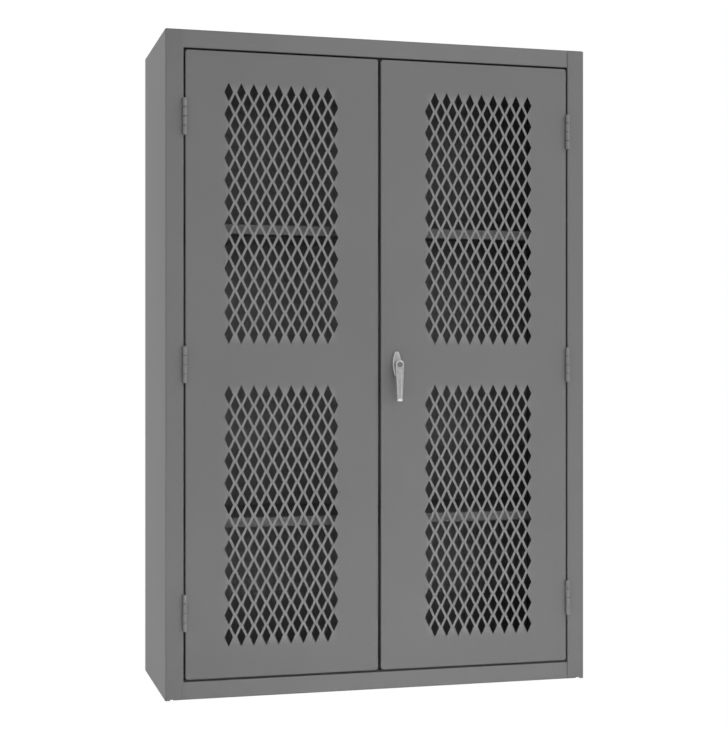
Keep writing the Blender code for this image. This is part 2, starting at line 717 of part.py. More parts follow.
def hinges(axes):
    """Three hinges a door. The door's leaf has the top knuckle on the left door, and the
    stile's leaf has it on the right one."""
    for side, word in ((-1, "left"), (1, "right")):
        door_first = 0 if side < 0 else 1
        for height, level in HINGE_LEVELS.items():
            name = f"{word}_{height}_hinge"
            hinge_leaf(name + "_frame_leaf", side, level, -1, 1 - door_first, None)
            hinge_leaf(name + "_door_leaf", side, level, 1, door_first, axes[side])
            hinge_pin(name + "_pin", side, level)


def escutcheon_outline(inset):
    """A pointed oval with flat ends, its middle a little above the lever's axis."""
    half = ESCUTCHEON_HEIGHT / 2 - inset
    bulge = (ESCUTCHEON_WIDTH - ESCUTCHEON_END_WIDTH) / 2
    radius = (half**2 + bulge**2) / (2 * bulge)
    reach = math.degrees(math.asin(half / radius))
    middle = ESCUTCHEON_WIDTH / 2 - inset - radius
    level = DOOR_MIDDLE + ESCUTCHEON_RISE
    right = arc((HANDLE_X + middle, level), radius, -reach, reach, ESCUTCHEON_SIDE_STEPS)
    left = arc((HANDLE_X - middle, level), radius, 180 - reach, 180 + reach, ESCUTCHEON_SIDE_STEPS)
    return right + left


def screw_places():
    level, half = DOOR_MIDDLE + ESCUTCHEON_RISE, SCREW_SPACING / 2
    return {"upper": (HANDLE_X, level + half), "lower": (HANDLE_X, level - half)}


def handle_escutcheon(axis):
    """The cast plate behind the lever, with a rim round a shallow dish."""
    rim = ESCUTCHEON_CHAMFER + ESCUTCHEON_RIM
    front = -FIT - ESCUTCHEON_THICKNESS
    sections = [
        (escutcheon_outline(0), -FIT),
        (escutcheon_outline(0), front + ESCUTCHEON_CHAMFER),
        (escutcheon_outline(ESCUTCHEON_CHAMFER), front),
        (escutcheon_outline(rim), front),
        (escutcheon_outline(rim), front + ESCUTCHEON_DISH),
    ]
    plate = add_piece("handle_escutcheon", stack(bmesh.new(), "Y", sections), CAST_ZINC, axis)
    holes = bmesh.new()
    hub = bore((HANDLE_X, DOOR_MIDDLE), HUB_RADIUS + HUB_PLAY, ROUND_SIDES)
    sweep(holes, "Y", hub, front - OVERRUN, OVERRUN)
    for place in screw_places().values():
        hole = bore(place, SCREW_RADIUS + FIT, SCREW_SIDES)
        sweep(holes, "Y", hole, -SCREW_LENGTH, OVERRUN)
    combine(plate, holes, "DIFFERENCE")


def handle_screw(name, place, axis):
    """A screw from inside the door into the escutcheon."""
    seat = SHEET + FIT
    shank = circle(place, SCREW_RADIUS, SCREW_SIDES)
    head = circle(place, SCREW_HEAD_RADIUS, SCREW_SIDES)
    sections = [(shank, FIT - SCREW_LENGTH), (shank, seat), (head, seat)]
    sections.append((head, seat + SCREW_HEAD_HEIGHT))
    add_piece(name, stack(bmesh.new(), "Y", sections), PLATED_STEEL, axis)


def lever_outline(inset):
    """The lever seen from the front: a round head that tapers to a narrow tip."""
    head = LEVER_HEAD_RADIUS - inset
    half = LEVER_TIP_WIDTH / 2 - inset
    corner = LEVER_TIP_CORNER
    bottom = DOOR_MIDDLE - LEVER_DROP + inset + corner
    points = arc((HANDLE_X, DOOR_MIDDLE), head, 0, 180, LEVER_HEAD_STEPS)
    points += arc((HANDLE_X - half + corner, bottom), corner, 180, 270, CORNER_STEPS)
    points += arc((HANDLE_X + half - corner, bottom), corner, 270, 360, CORNER_STEPS)
    return points


def lever_groove():
    """The shallow groove down the lever's face, pointed at its upper end."""
    half = GROOVE_WIDTH / 2
    top, low = DOOR_MIDDLE - GROOVE_START, DOOR_MIDDLE - GROOVE_END
    return [
        (HANDLE_X, top),
        (HANDLE_X - half, top - half),
        (HANDLE_X - half, low),
        (HANDLE_X + half, low),
        (HANDLE_X + half, top - half),
    ]


def handle_lever(axis):
    """The cast lever with its groove and slanted tip, its hub in the escutcheon, the lock's
    bore and the spindle's socket."""
    front = -HANDLE_REACH
    back = front + LEVER_THICKNESS
    sections = [
        (lever_outline(LEVER_BEVEL), front),
        (lever_outline(0), front + LEVER_BEVEL),
        (lever_outline(0), back),
    ]
    lever = add_piece("handle_lever", stack(bmesh.new(), "Y", sections), CAST_ZINC, axis)
    centre = (HANDLE_X, DOOR_MIDDLE)
    hub = circle(centre, HUB_RADIUS, ROUND_SIDES)
    combine(lever, sweep(bmesh.new(), "Y", hub, back - HUB_LAP, HUB_END), "UNION")
    holes = bmesh.new()
    sweep(holes, "Y", lever_groove(), front - OVERRUN, front + GROOVE_DEPTH)
    bottom = DOOR_MIDDLE - LEVER_DROP
    slant = [
        (front - TIP_BEVEL_DEPTH, bottom + 2 * TIP_BEVEL_HEIGHT),
        (front - TIP_BEVEL_DEPTH, bottom - TIP_BEVEL_HEIGHT),
        (front + 2 * TIP_BEVEL_DEPTH, bottom - TIP_BEVEL_HEIGHT),
    ]
    sweep(holes, "X", slant, HANDLE_X - LEVER_TIP_WIDTH, HANDLE_X + LEVER_TIP_WIDTH)
    lock = bore(centre, LOCK_RADIUS + FIT, ROUND_SIDES)
    sweep(holes, "Y", lock, front - OVERRUN, front + LOCK_RECESS + LOCK_DEPTH + FIT)
    half = SPINDLE_SIDE / 2 + FIT
    socket = (HUB_END - SOCKET_DEPTH, HUB_END + OVERRUN)
    levels = (DOOR_MIDDLE - half, DOOR_MIDDLE + half)
    box(holes, (HANDLE_X - half, HANDLE_X + half), socket, levels)
    combine(lever, holes, "DIFFERENCE")


def lock_cylinder(axis):
    """The lock's body, a sleeve with a closed back, pressed into the lever's head."""
    front = -HANDLE_REACH + LOCK_RECESS
    centre = (HANDLE_X, DOOR_MIDDLE)
    wall = circle(centre, LOCK_RADIUS, ROUND_SIDES)
    sleeve = bore(centre, PLUG_RADIUS + PLUG_PLAY, ROUND_SIDES)
    floor = front + LOCK_DEPTH
    inner = floor - SHEET
    bm = bmesh.new()
    rims = [add_loop(bm, "Y", outline, depth) for outline, depth in ((wall, front), (wall, floor))]
    wells = [add_loop(bm, "Y", sleeve, depth) for depth in (front, inner)]
    bridge(bm, *rims)
    bridge(bm, *wells)
    cap(bm, rims[0], [wells[0]])
    cap(bm, rims[1])
    cap(bm, wells[1])
    add_piece("lock_cylinder", bm, LOCK_STEEL, axis)


def lock_plug(axis):
    """The part of the lock that the key turns, with its keyway."""
    front = -HANDLE_REACH + LOCK_RECESS
    plug = circle((HANDLE_X, DOOR_MIDDLE), PLUG_RADIUS, ROUND_SIDES)
    bm = sweep(bmesh.new(), "Y", plug, front, front + LOCK_DEPTH - SHEET - PLUG_PLAY)
    piece = add_piece("lock_plug", bm, LOCK_STEEL, axis)
    long, high = KEYWAY_LENGTH / 2, KEYWAY_WIDTH / 2
    keyway = box(
        bmesh.new(),
        (HANDLE_X - long, HANDLE_X + long),
        (front - OVERRUN, front + KEYWAY_DEPTH),
        (DOOR_MIDDLE - high, DOOR_MIDDLE + high),
    )
    combine(piece, keyway, "DIFFERENCE")


def handle_spindle(axis):
    """The square bar from the lever to the cam, with a threaded stub for the nut."""
    half = SPINDLE_SIDE / 2
    short = half - SPINDLE_CHAMFER
    quarter = [(half, short), (short, half)]
    square = []
    for turn in range(4):
        for across, up in quarter:
            for _ in range(turn):
                across, up = -up, across
            square.append((HANDLE_X + across, DOOR_MIDDLE + up))
    stub = circle((HANDLE_X, DOOR_MIDDLE), STUB_RADIUS, len(square))
    start = HUB_END - SOCKET_DEPTH + FIT
    end = CAM_BACK + FIT + NUT_HEIGHT + STUB_END
    sections = [(square, start), (square, CAM_BACK), (stub, CAM_BACK), (stub, end)]
    add_piece("handle_spindle", stack(bmesh.new(), "Y", sections), PLATED_STEEL, axis)


def latch_cam(axis):
    """The plate on the spindle: a disc with the pins that move the rods, and the tongue
    that turns in behind the other door."""
    centre = (HANDLE_X, DOOR_MIDDLE)
    half = TONGUE_WIDTH / 2
    reach = HANDLE_X - DOOR_FREE[-1] + TONGUE_LAP
    spread = math.degrees(math.asin(half / CAM_RADIUS))
    outline = arc(centre, CAM_RADIUS, 90 + spread, 450 - spread, CAM_SIDES)
    corner = TONGUE_CORNER
    top = DOOR_MIDDLE + reach - corner
    outline += arc((HANDLE_X + half - corner, top), corner, 0, 90, CORNER_STEPS)
    outline += arc((HANDLE_X - half + corner, top), corner, 90, 180, CORNER_STEPS)
    side = SPINDLE_SIDE / 2 + FIT
    square = [
        (HANDLE_X + side, DOOR_MIDDLE + side),
        (HANDLE_X - side, DOOR_MIDDLE + side),
        (HANDLE_X - side, DOOR_MIDDLE - side),
        (HANDLE_X + side, DOOR_MIDDLE - side),
    ]
    bm = sweep(bmesh.new(), "Y", outline, CAM_FRONT, CAM_BACK, [square])
    cam = add_piece("latch_cam", bm, PLATED_STEEL, axis)
    pins = bmesh.new()
    for way in (-1, 1):
        place = (HANDLE_X + way * PIN_RISE, DOOR_MIDDLE - way * PIN_RISE)
        shank = circle(place, CAM_PIN_RADIUS, SCREW_SIDES)
        head = circle(place, CAM_PIN_HEAD_RADIUS, SCREW_SIDES)
        seat = TAB_BACK + TAB_PLAY
        sections = [(shank, CAM_BACK - CAM_PIN_LAP), (shank, seat), (head, seat)]
        sections.append((head, seat + CAM_PIN_HEAD))
        stack(pins, "Y", sections)
    combine(cam, pins, "UNION")


def cam_nut(axis):
    centre = (HANDLE_X, DOOR_MIDDLE)
    outline = circle(centre, NUT_RADIUS, NUT_SIDES)
    hole = bore(centre, STUB_RADIUS + FIT, SCREW_SIDES)
    start = CAM_BACK + FIT
    bm = sweep(bmesh.new(), "Y", outline, start, start + NUT_HEIGHT, [hole])
    add_piece("cam_nut", bm, PLATED_STEEL, axis)


def latch_rod(name, way, axis):
    """A rod that bolts the door at one end, with a slotted tab that the cam's pin drives."""
    x = HANDLE_X + way * ROD_OFFSET
    pin_level = DOOR_MIDDLE - way * PIN_RISE
    tip = ROD_TIPS[way]
    shaft = circle((x, ROD_DEPTH), ROD_RADIUS, ROD_SIDES)
    point = circle((x, ROD_DEPTH), ROD_TIP_RADIUS, ROD_SIDES)
    neck = pin_level + way * (TAB_NECK - TAB_WALL)
    sections = [(shaft, neck), (shaft, tip - way * ROD_TAPER), (point, tip)]
    rod = add_piece(name, stack(bmesh.new(), "Z", sections), PLATED_STEEL, axis)
    slot_half = (CAM_PIN_CIRCLE - PIN_RISE) / 2 + CAM_PIN_RADIUS + YOKE_PLAY
    slot_rise = CAM_PIN_RADIUS + YOKE_SWAY_SHARE * CAM_PIN_CIRCLE + YOKE_PLAY
    slot_ends = (pin_level - slot_rise, pin_level + slot_rise)
    slot = rounded_rectangle(x - slot_half, x + slot_half, *slot_ends, LEAST_CORNER, TAB_CORNER_STEPS)
    wide = slot_half + TAB_WALL
    ends = sorted((pin_level - way * (slot_rise + TAB_WALL), pin_level + way * TAB_NECK))
    tab = rounded_rectangle(x - wide, x + wide, *ends, TAB_WALL, TAB_CORNER_STEPS)
    combine(rod, sweep(bmesh.new(), "Y", tab, TAB_FRONT, TAB_BACK, [slot]), "UNION")


def rod_guide(name, way, axis):
    """An angle inside the door, with the hole that steadies a rod near its end."""
    x = HANDLE_X + way * ROD_OFFSET
    level = (DOOR_TOP if way > 0 else DOOR_BOTTOM) - way * GUIDE_END_OFFSET
    near = SHEET + FIT
    far = ROD_DEPTH + ROD_RADIUS + ROD_PLAY + GUIDE_WALL
    path = [(near, level - way * GUIDE_FOOT), (near, level), (far, level)]
    half = GUIDE_WIDTH / 2
    bm = sweep(bmesh.new(), "X", bent_sheet(path, -way), x - half, x + half)
    guide = add_piece(name, bm, PLATED_STEEL, axis)
    hole = bore((x, ROD_DEPTH), ROD_RADIUS + ROD_PLAY, ROD_SIDES)
    low, high = sorted((level - way * (SHEET + OVERRUN), level + way * OVERRUN))
    combine(guide, sweep(bmesh.new(), "Z", hole, low, high), "DIFFERENCE")


def build_case():
    for side, word in ((-1, "left"), (1, "right")):
        side_panel(f"{word}_side_panel", side)
        for place, depth in standard_depths().items():
            shelf_standard(f"{word}_{place}_shelf_standard", side, depth)
    top_panel()
    bottom_panel()
    back_panel()
    sill_stop()


def build_shelves():
    for word, level in (("upper", UPPER_SHELF_LEVEL), ("lower", LOWER_SHELF_LEVEL)):
        shelf(f"{word}_shelf", level)
        for side, hand in ((-1, "left"), (1, "right")):
            for place, depth in standard_depths().items():
                shelf_clip(f"{word}_shelf_{hand}_{place}_clip", side, depth, level)


def build_doors():
    axes = {}
    for side, word in ((-1, "left"), (1, "right")):
        axes[side] = add_axis(f"{word}_door_axis", side * HINGE_X, HINGE_DEPTH, DOOR_MIDDLE)
        door_stiffener(f"{word}_door_stiffener", side, axes[side])
    handle_holes = [bore((HANDLE_X, DOOR_MIDDLE), SPINDLE_HOLE_RADIUS, ROUND_SIDES)]
    handle_holes += [bore(place, SCREW_RADIUS + FIT, SCREW_SIDES) for place in screw_places().values()]
    door("left_door", -1, axes[-1])
    door("right_door", 1, axes[1], handle_holes)
    hinges(axes)
    return axes


def build_latch(door_axis):
    handle_escutcheon(door_axis)
    for word, place in screw_places().items():
        handle_screw(f"handle_{word}_screw", place, door_axis)
    handle_axis = add_axis("handle_axis", HANDLE_X, 0, DOOR_MIDDLE, door_axis)
    handle_lever(handle_axis)
    lock_cylinder(handle_axis)
    plug_axis = add_axis("lock_plug_axis", HANDLE_X, -HANDLE_REACH, DOOR_MIDDLE, handle_axis)
    lock_plug(plug_axis)
    handle_spindle(handle_axis)
    latch_cam(handle_axis)
    cam_nut(handle_axis)
    for way, word in ((1, "upper"), (-1, "lower")):
        rod_x = HANDLE_X + way * ROD_OFFSET
        rod_axis = add_axis(f"{word}_rod_axis", rod_x, ROD_DEPTH, DOOR_MIDDLE, door_axis)
        latch_rod(f"{word}_rod", way, rod_axis)
        rod_guide(f"{word}_rod_guide", way, door_axis)


for item in list(bpy.data.objects):
    bpy.data.objects.remove(item)
build_case()
build_shelves()
door_axes = build_doors()
build_latch(door_axes[1])
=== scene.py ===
# A grey ventilated storage cabinet: the finished surfaces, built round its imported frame.
import json
import math

import bmesh
import bpy
from mathutils import Matrix, Vector


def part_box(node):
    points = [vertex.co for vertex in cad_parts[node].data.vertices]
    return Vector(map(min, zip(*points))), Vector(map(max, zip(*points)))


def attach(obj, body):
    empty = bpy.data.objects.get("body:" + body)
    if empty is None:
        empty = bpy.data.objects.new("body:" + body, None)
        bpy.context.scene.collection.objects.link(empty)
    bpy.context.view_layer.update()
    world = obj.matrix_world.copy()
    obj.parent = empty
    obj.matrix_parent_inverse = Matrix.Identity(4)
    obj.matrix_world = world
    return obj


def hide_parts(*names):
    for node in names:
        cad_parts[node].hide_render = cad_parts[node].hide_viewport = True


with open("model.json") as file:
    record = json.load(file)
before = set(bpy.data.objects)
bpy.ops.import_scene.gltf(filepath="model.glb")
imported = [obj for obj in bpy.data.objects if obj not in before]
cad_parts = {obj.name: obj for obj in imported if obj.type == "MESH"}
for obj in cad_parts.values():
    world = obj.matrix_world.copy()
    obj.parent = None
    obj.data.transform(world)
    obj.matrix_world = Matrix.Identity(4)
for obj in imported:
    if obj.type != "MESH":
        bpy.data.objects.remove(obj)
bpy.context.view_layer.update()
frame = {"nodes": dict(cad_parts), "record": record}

mm = 0.001

# What every sheet-metal piece is bent from, and how its mesh is cut and shaded
sheet = {
    "thickness": 1.9 * mm,
    "innerRadius": 1.3 * mm,
    "bendSteps": 6,
    "clearance": 0.3 * mm,
    "overrun": 5.0 * mm,  # how far a cutter reaches past what it cuts
    "leastCorner": 0.4 * mm,
    "sharpAngle": 24,
    "mergeDistance": 0.01 * mm,
}
outerRadius = sheet["innerRadius"] + sheet["thickness"]


# An operator on sockets, and the same one with its sides swapped
def operator(operation):
    def straight(wire, other):
        return wire.sum(operation, wire, other)

    def swapped(wire, other):
        return wire.sum(operation, other, wire)

    return straight, swapped


# A node socket that takes part in sums
class Wire:
    __add__, __radd__ = operator("ADD")
    __sub__, __rsub__ = operator("SUBTRACT")
    __mul__, __rmul__ = operator("MULTIPLY")
    __truediv__, __rtruediv__ = operator("DIVIDE")
    __mod__, __rmod__ = operator("MODULO")

    def __init__(self, board, socket):
        self.board = board
        self.socket = socket

    def sum(self, operation, *values):
        return self.board.add("ShaderNodeMath", {"operation": operation}, dict(enumerate(values)))

    def __neg__(self):
        return self.sum("MULTIPLY", self, -1.0)

    def __abs__(self):
        return self.sum("ABSOLUTE", self)

    def __getitem__(self, name):
        return Wire(self.board, self.socket.node.outputs[name])

    def clamped(self):
        held = self.sum("ADD", self, 0.0)
        held.socket.node.use_clamp = True
        return held


# A node tree that is filled in one call for each node
class Board:
    def __init__(self, tree):
        self.tree = tree

    def add(self, kind, settings=None, inputs=None):
        node = self.tree.nodes.new(kind)
        for name, value in (settings or {}).items():
            setattr(node, name, value)
        for name, value in (inputs or {}).items():
            for part in value if isinstance(value, list) else [value]:
                if isinstance(part, Wire):
                    self.tree.links.new(part.socket, node.inputs[name])
                else:
                    node.inputs[name].default_value = part
        shown = [output for output in node.outputs if output.enabled] or [None]
        return Wire(self, shown[0])

    def vector(self, x=0.0, y=0.0, z=0.0):
        return self.add("ShaderNodeCombineXYZ", {}, {"X": x, "Y": y, "Z": z})

    def parts(self, vector):
        return self.add("ShaderNodeSeparateXYZ", {}, {"Vector": vector})

    def join(self, *shapes):
        return self.add("GeometryNodeJoinGeometry", {}, {"Geometry": list(shapes)})

    def line(self, count, start, offset):
        places = {"Count": count, "Start Location": start, "Offset": offset}
        return self.add("GeometryNodeMeshLine", {}, places)

    def copies(self, points, instance):
        given = {"Points": points, "Instance": instance}
        made = self.add("GeometryNodeInstanceOnPoints", {}, given)
        return self.add("GeometryNodeRealizeInstances", {}, {"Geometry": made})

    # A four-sided outline with its corners rounded
    def outline(self, mode, sizes, radius, steps):
        shape = self.add("GeometryNodeCurvePrimitiveQuadrilateral", {"mode": mode}, sizes)
        rounding = {"Curve": shape, "Count": steps, "Radius": radius, "Limit Radius": True}
        return self.add("GeometryNodeFilletCurve", {"mode": "POLY"}, rounding)

    def closeShape(self, shape, finish):
        shape = self.add("GeometryNodeRealizeInstances", {}, {"Geometry": shape})
        shape = self.add("GeometryNodeSetMaterial", {}, {"Geometry": shape, "Material": finish})
        self.add("NodeGroupOutput", {}, {0: shape})


# Outlines and solids

def arcPoints(centre, radius, start, end, steps):
    points = []
    for i in range(steps + 1):
        angle = math.radians(start + (end - start) * i / steps)
        points.append((centre[0] + radius * math.cos(angle), centre[1] + radius * math.sin(angle)))
    return points


def ringPoints(centre, radius, sides):
    return arcPoints(centre, radius, 0, 360, sides)[:-1]


def roundedBox(left, right, low, high, radius, steps):
    points = arcPoints((right - radius, high - radius), radius, 0, 90, steps)
    points += arcPoints((left + radius, high - radius), radius, 90, 180, steps)
    points += arcPoints((left + radius, low + radius), radius, 180, 270, steps)
    return points + arcPoints((right - radius, low + radius), radius, 270, 360, steps)


# A quarter round for a profile: how far it draws in, and how far it stands from the end
def quarterRound(radius, steps):
    turns = [math.radians(90 * i / steps) for i in range(steps + 1)]
    return [(radius * (1 - math.cos(t)), radius * (1 - math.sin(t))) for t in turns]


# A sheet bent along a path, which is one of its faces: side 1 puts the sheet on its left
def foldedOutline(path, side):
    thickness = sheet["thickness"]
    face, back = [], []
    for i, (across, up) in enumerate(path):
        before, after = path[max(i, 1) - 1], path[max(i, 1)]
        way = Vector((after[0] - before[0], after[1] - before[1])).normalized()
        left = Vector((-way.y, way.x))
        if i in (0, len(path) - 1):
            face.append((across, up))
            back.append((across + side * thickness * left.x, up + side * thickness * left.y))
            continue
        onward = Vector((path[i + 1][0] - across, path[i + 1][1] - up)).normalized()
        turn = math.copysign(1, way.x * onward.y - way.y * onward.x)
        near, far = outerRadius, sheet["innerRadius"]
        if turn != side:
            near, far = far, near
        centre = Vector((across, up)) + near * (turn * left - way)
        start = math.degrees(math.atan2(-turn * left.y, -turn * left.x))
        face += arcPoints(centre, near, start, start + 90 * turn, sheet["bendSteps"])
        back += arcPoints(centre, far, start, start + 90 * turn, sheet["bendSteps"])
    return face + back[::-1]


# Outlines square to X hold (y, z), those square to Y hold (x, z), those square to Z hold (x, y)
def placed(axis, across, up, along):
    return {"X": (along, across, up), "Y": (across, along, up), "Z": (across, up, along)}[axis]


def addLoop(bm, axis, outline, along):
    return [bm.verts.new(placed(axis, across, up, along)) for across, up in outline]


def bridgeLoops(bm, near, far):
    for i in range(len(near)):
        bm.faces.new((near[i - 1], near[i], far[i], far[i - 1]))


def capLoop(bm, rim, holes=()):
    if not holes:
        bm.faces.new(rim)
        return
    edges = []
    for loop in (rim, *holes):
        for i in range(len(loop)):
            pair = (loop[i - 1], loop[i])
            edges.append(bm.edges.get(pair) or bm.edges.new(pair))
    bmesh.ops.triangle_fill(bm, edges=edges, use_beauty=True)


# A solid through like outlines; its holes run straight through. Like the solids below, it is
# added to the bmesh that is given, or starts one.
def loft(axis, sections, holes=(), bm=None):
    if bm is None:
        bm = bmesh.new()
    rims = [addLoop(bm, axis, outline, along) for outline, along in sections]
    for near, far in zip(rims, rims[1:]):
        bridgeLoops(bm, near, far)
    bores = [[addLoop(bm, axis, hole, sections[end][1]) for hole in holes] for end in (0, -1)]
    for near, far in zip(*bores):
        bridgeLoops(bm, near, far)
    capLoop(bm, rims[0], bores[0])
    capLoop(bm, rims[-1], bores[1])
    return bm


# A solid of even section between two ends
def prism(axis, outline, ends, holes=(), bm=None):
    return loft(axis, [(outline, end) for end in ends], holes, bm)


def block(x, y, z, bm=None):
    return prism("Y", [(x[0], z[0]), (x[1], z[0]), (x[1], z[1]), (x[0], z[1])], y, bm=bm)


def cylinder(axis, centre, radius, ends, sides, bm=None):
    return prism(axis, ringPoints(centre, radius, sides), ends, bm=bm)


# A solid turned round an axis; its profile holds (radius, place along the axis)
def lathe(axis, centre, profile, sides, bm=None):
    sections = [(ringPoints(centre, radius, sides), along) for radius, along in profile]
    return loft(axis, sections, bm=bm)


# Fills a mesh from a bmesh, its faces outwards and shaded smooth across its bends only
def fillMesh(mesh, bm):
    bmesh.ops.recalc_face_normals(bm, faces=bm.faces)
    bm.to_mesh(mesh)
    bm.free()
    mesh.shade_smooth()
    mesh.set_sharp_from_angle(angle=math.radians(sheet["sharpAngle"]))


def addPiece(name, bm):
    piece = bpy.data.objects.new(name, bpy.data.meshes.new(name))
    fillMesh(piece.data, bm)
    bpy.context.scene.collection.objects.link(piece)
    return piece


# Turns what the modifiers make into the piece's own plain mesh
def settle(piece):
    graph = bpy.context.evaluated_depsgraph_get()
    made = bpy.data.meshes.new_from_object(piece.evaluated_get(graph), depsgraph=graph)
    made.name = piece.name
    piece.modifiers.clear()
    piece.data = made


def combined(piece, bm, operation="DIFFERENCE"):
    tool = addPiece(piece.name + "Tool", bm)
    step = piece.modifiers.new(operation, "BOOLEAN")
    step.operation = operation
    step.solver = "EXACT"
    step.object = tool
    settle(piece)
    bpy.data.objects.remove(tool)
    piece.data.set_sharp_from_angle(angle=math.radians(sheet["sharpAngle"]))


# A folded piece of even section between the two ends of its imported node
def foldedPiece(name, node, axis, path, side):
    ends = [corner["XYZ".index(axis)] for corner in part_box(node)]
    return addPiece(name, prism(axis, foldedOutline(path, side), ends))


def centreOf(node):
    low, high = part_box(node)
    return (low + high) / 2


def coat(piece, finish):
    piece.data.materials.clear()
    piece.data.materials.append(finishes[finish])


# The last step of a piece: even normals, its finish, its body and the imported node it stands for
def dress(piece, finish, body, node):
    weigh = piece.modifiers.new("evenNormals", "WEIGHTED_NORMAL")
    weigh.keep_sharp = True
    settle(piece)
    coat(piece, finish)
    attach(piece, body)
    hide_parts(node)


# Finishes

def newFinish(name):
    made = bpy.data.materials.new(name)
    made.use_nodes = True
    made.node_tree.nodes.clear()
    return made, Board(made.node_tree)


def closeFinish(board, inputs):
    shader = board.add("ShaderNodeBsdfPrincipled", {}, inputs)
    board.add("ShaderNodeOutputMaterial", {}, {"Surface": shader})


def objectPlace(board):
    return board.add("ShaderNodeTexCoord")["Object"]


# The mix of two colours, whose sockets come after those for numbers and vectors
def blendColours(board, share, first, second):
    mixed = board.add("ShaderNodeMix", {"data_type": "RGBA"}, {0: share, 6: first, 7: second})
    return Wire(board, mixed.socket.node.outputs[2])


def noise(board, place, scale, detail):
    inputs = {"Vector": place, "Scale": scale, "Detail": detail}
    return board.add("ShaderNodeTexNoise", {}, inputs)["Fac"]


def grey(level, tint=(1.0, 1.0, 1.0)):
    return (level * tint[0], level * tint[1], level * tint[2], 1.0)


# Each noise is given by its scale and detail
powder = {
    "level": 0.158,
    # the level of the painted highlight over the doors' strands
    "strandLevel": 0.206,
    # the roof and floor panels are painted lighter than the sides, standing in for the light on the
    # header and the sill
    "endLevel": 0.179,
    "hingeLevel": 0.194,
    # how much darker the painted shade is in the seat behind the doors' edges
    "seatShade": 0.65,
    "seatStart": 3.4 * mm,
    "seatEnd": 27.0 * mm,
    "seatFade": 1.5 * mm,
    "drift": 0.024,
    "driftNoise": (2.6, 3.0),
    "speckle": 0.020,
    "speckleNoise": (420.0, 2.0),
    "peelHeight": 0.06 * mm,
    "peelNoise": (620.0, 1.0),
    "roughness": 0.46,
    "roughnessDrift": 0.07,
    "specular": 0.27,
}


# Powder coat: an even grey with orange peel; over the windows its strands get a painted highlight,
# lighter to stand in for light on their punched edges, and the seat behind the doors' edges gets
# painted shade, darker where the gap shades it
def powderCoat(name, level, windows=None, face=None):
    made, board = newFinish(name)
    place = objectPlace(board)
    drift = noise(board, place, *powder["driftNoise"]) - 0.5
    speckle = noise(board, place, *powder["speckleNoise"]) - 0.5
    light = level + (drift * powder["drift"] + speckle * powder["speckle"])
    # A painted highlight: the strands over the diamond windows are lighter, for the light their
    # punched edges catch
    if windows:
        parts = board.parts(place)
        inside = 1.0
        for wire, middle, half in (
            (abs(parts["X"]), windows["middleX"], windows["halfX"]),
            (abs(parts["Z"] - windows["level"]), windows["middleZ"], windows["halfZ"]),
        ):
            inside = ((half - abs(wire - middle)) / windows["fade"]).clamped() * inside
        light = light + inside * (powder["strandLevel"] - powder["level"])
    # Painted shade: darker in the seat behind the doors' edges, where the gap shades it
    if face is not None:
        depth = board.parts(place)["Y"] - face
        reached = ((depth - powder["seatStart"]) / powder["seatFade"]).clamped()
        passed = ((depth - powder["seatEnd"]) / powder["seatFade"]).clamped()
        light = light * (1.0 - (reached - passed) * powder["seatShade"])
    colour = board.add("ShaderNodeCombineColor", {}, {"Red": light, "Green": light, "Blue": light})
    peel = noise(board, place, *powder["peelNoise"])
    bump = board.add("ShaderNodeBump", {}, {"Height": peel, "Distance": powder["peelHeight"]})
    closeFinish(
        board,
        {
            "Base Color": colour,
            "Roughness": powder["roughness"] + drift * powder["roughnessDrift"],
            "Normal": bump,
            "Specular IOR Level": powder["specular"],
        },
    )
    return made


# Each metal is given by its level and roughness
metal = {
    "cast": (0.78, 0.30),
    "lock": (0.40, 0.38),
    "plate": (0.42, 0.33),
    "plateTint": (0.98, 1.0, 1.02),
    # the pins are painted dark, a painted shade that keeps the knuckle gaps between them dark
    "pin": (0.10, 0.55),
    "tones": (0.88, 1.12),
    "mottleNoise": (60.0, 4.0),
    "mottleRoughness": 0.12,
    "grainNoise": (900.0, 3.0),
    "grainShare": 0.6,
    "grainRoughness": 0.08,
    "grainHeight": 0.02 * mm,
    "drawnUp": (1.0, 1.0, 0.12),
    "drawnAcross": (0.12, 1.0, 1.0),
}


# Metal with fine drawn-out grain, and a little mottling in its shade and gloss
def satinMetal(name, level, roughness, tint=(1.0, 1.0, 1.0), drawn=metal["drawnUp"]):
    made, board = newFinish(name)
    place = objectPlace(board)
    mottle = noise(board, place, *metal["mottleNoise"]) - 0.5
    stretched = board.add("ShaderNodeMapping", {}, {"Vector": place, "Scale": drawn})
    grain = noise(board, stretched, *metal["grainNoise"]) - 0.5
    share = (0.5 + mottle + grain * metal["grainShare"]).clamped()
    dark, bright = (grey(level * tone, tint) for tone in metal["tones"])
    unevenness = mottle * metal["mottleRoughness"] + grain * metal["grainRoughness"]
    bump = board.add("ShaderNodeBump", {}, {"Height": grain, "Distance": metal["grainHeight"]})
    closeFinish(
        board,
        {
            "Base Color": blendColours(board, share, dark, bright),
            "Metallic": 1.0,
            "Roughness": roughness + unevenness,
            "Normal": bump,
        },
    )
    return made


door = {
    "depth": 22.0 * mm,
    "lip": 12.0 * mm,
    "corner": 8.0 * mm,
    "cornerSteps": 8,
    "diamondWidth": 24.7 * mm,
    "diamondHeight": 52.0 * mm,
    "tipRadius": 0.3 * mm,
    "tipSteps": 2,
    "columnPitch": 34.93 * mm,
    "rowPitch": 30.24 * mm,
    "columns": 9,
    "rows": 23,
    "windows": 2,
    "hingeMargin": 107.8 * mm,
    "grilleStart": 127.1 * mm,
    "endMargin": 87.0 * mm,
    "midRail": 116.2 * mm,
    "strandFade": 24.0 * mm,
    "spindleHole": 7.5 * mm,
    "screwHole": 2.3 * mm,
    "holeSides": 24,
}


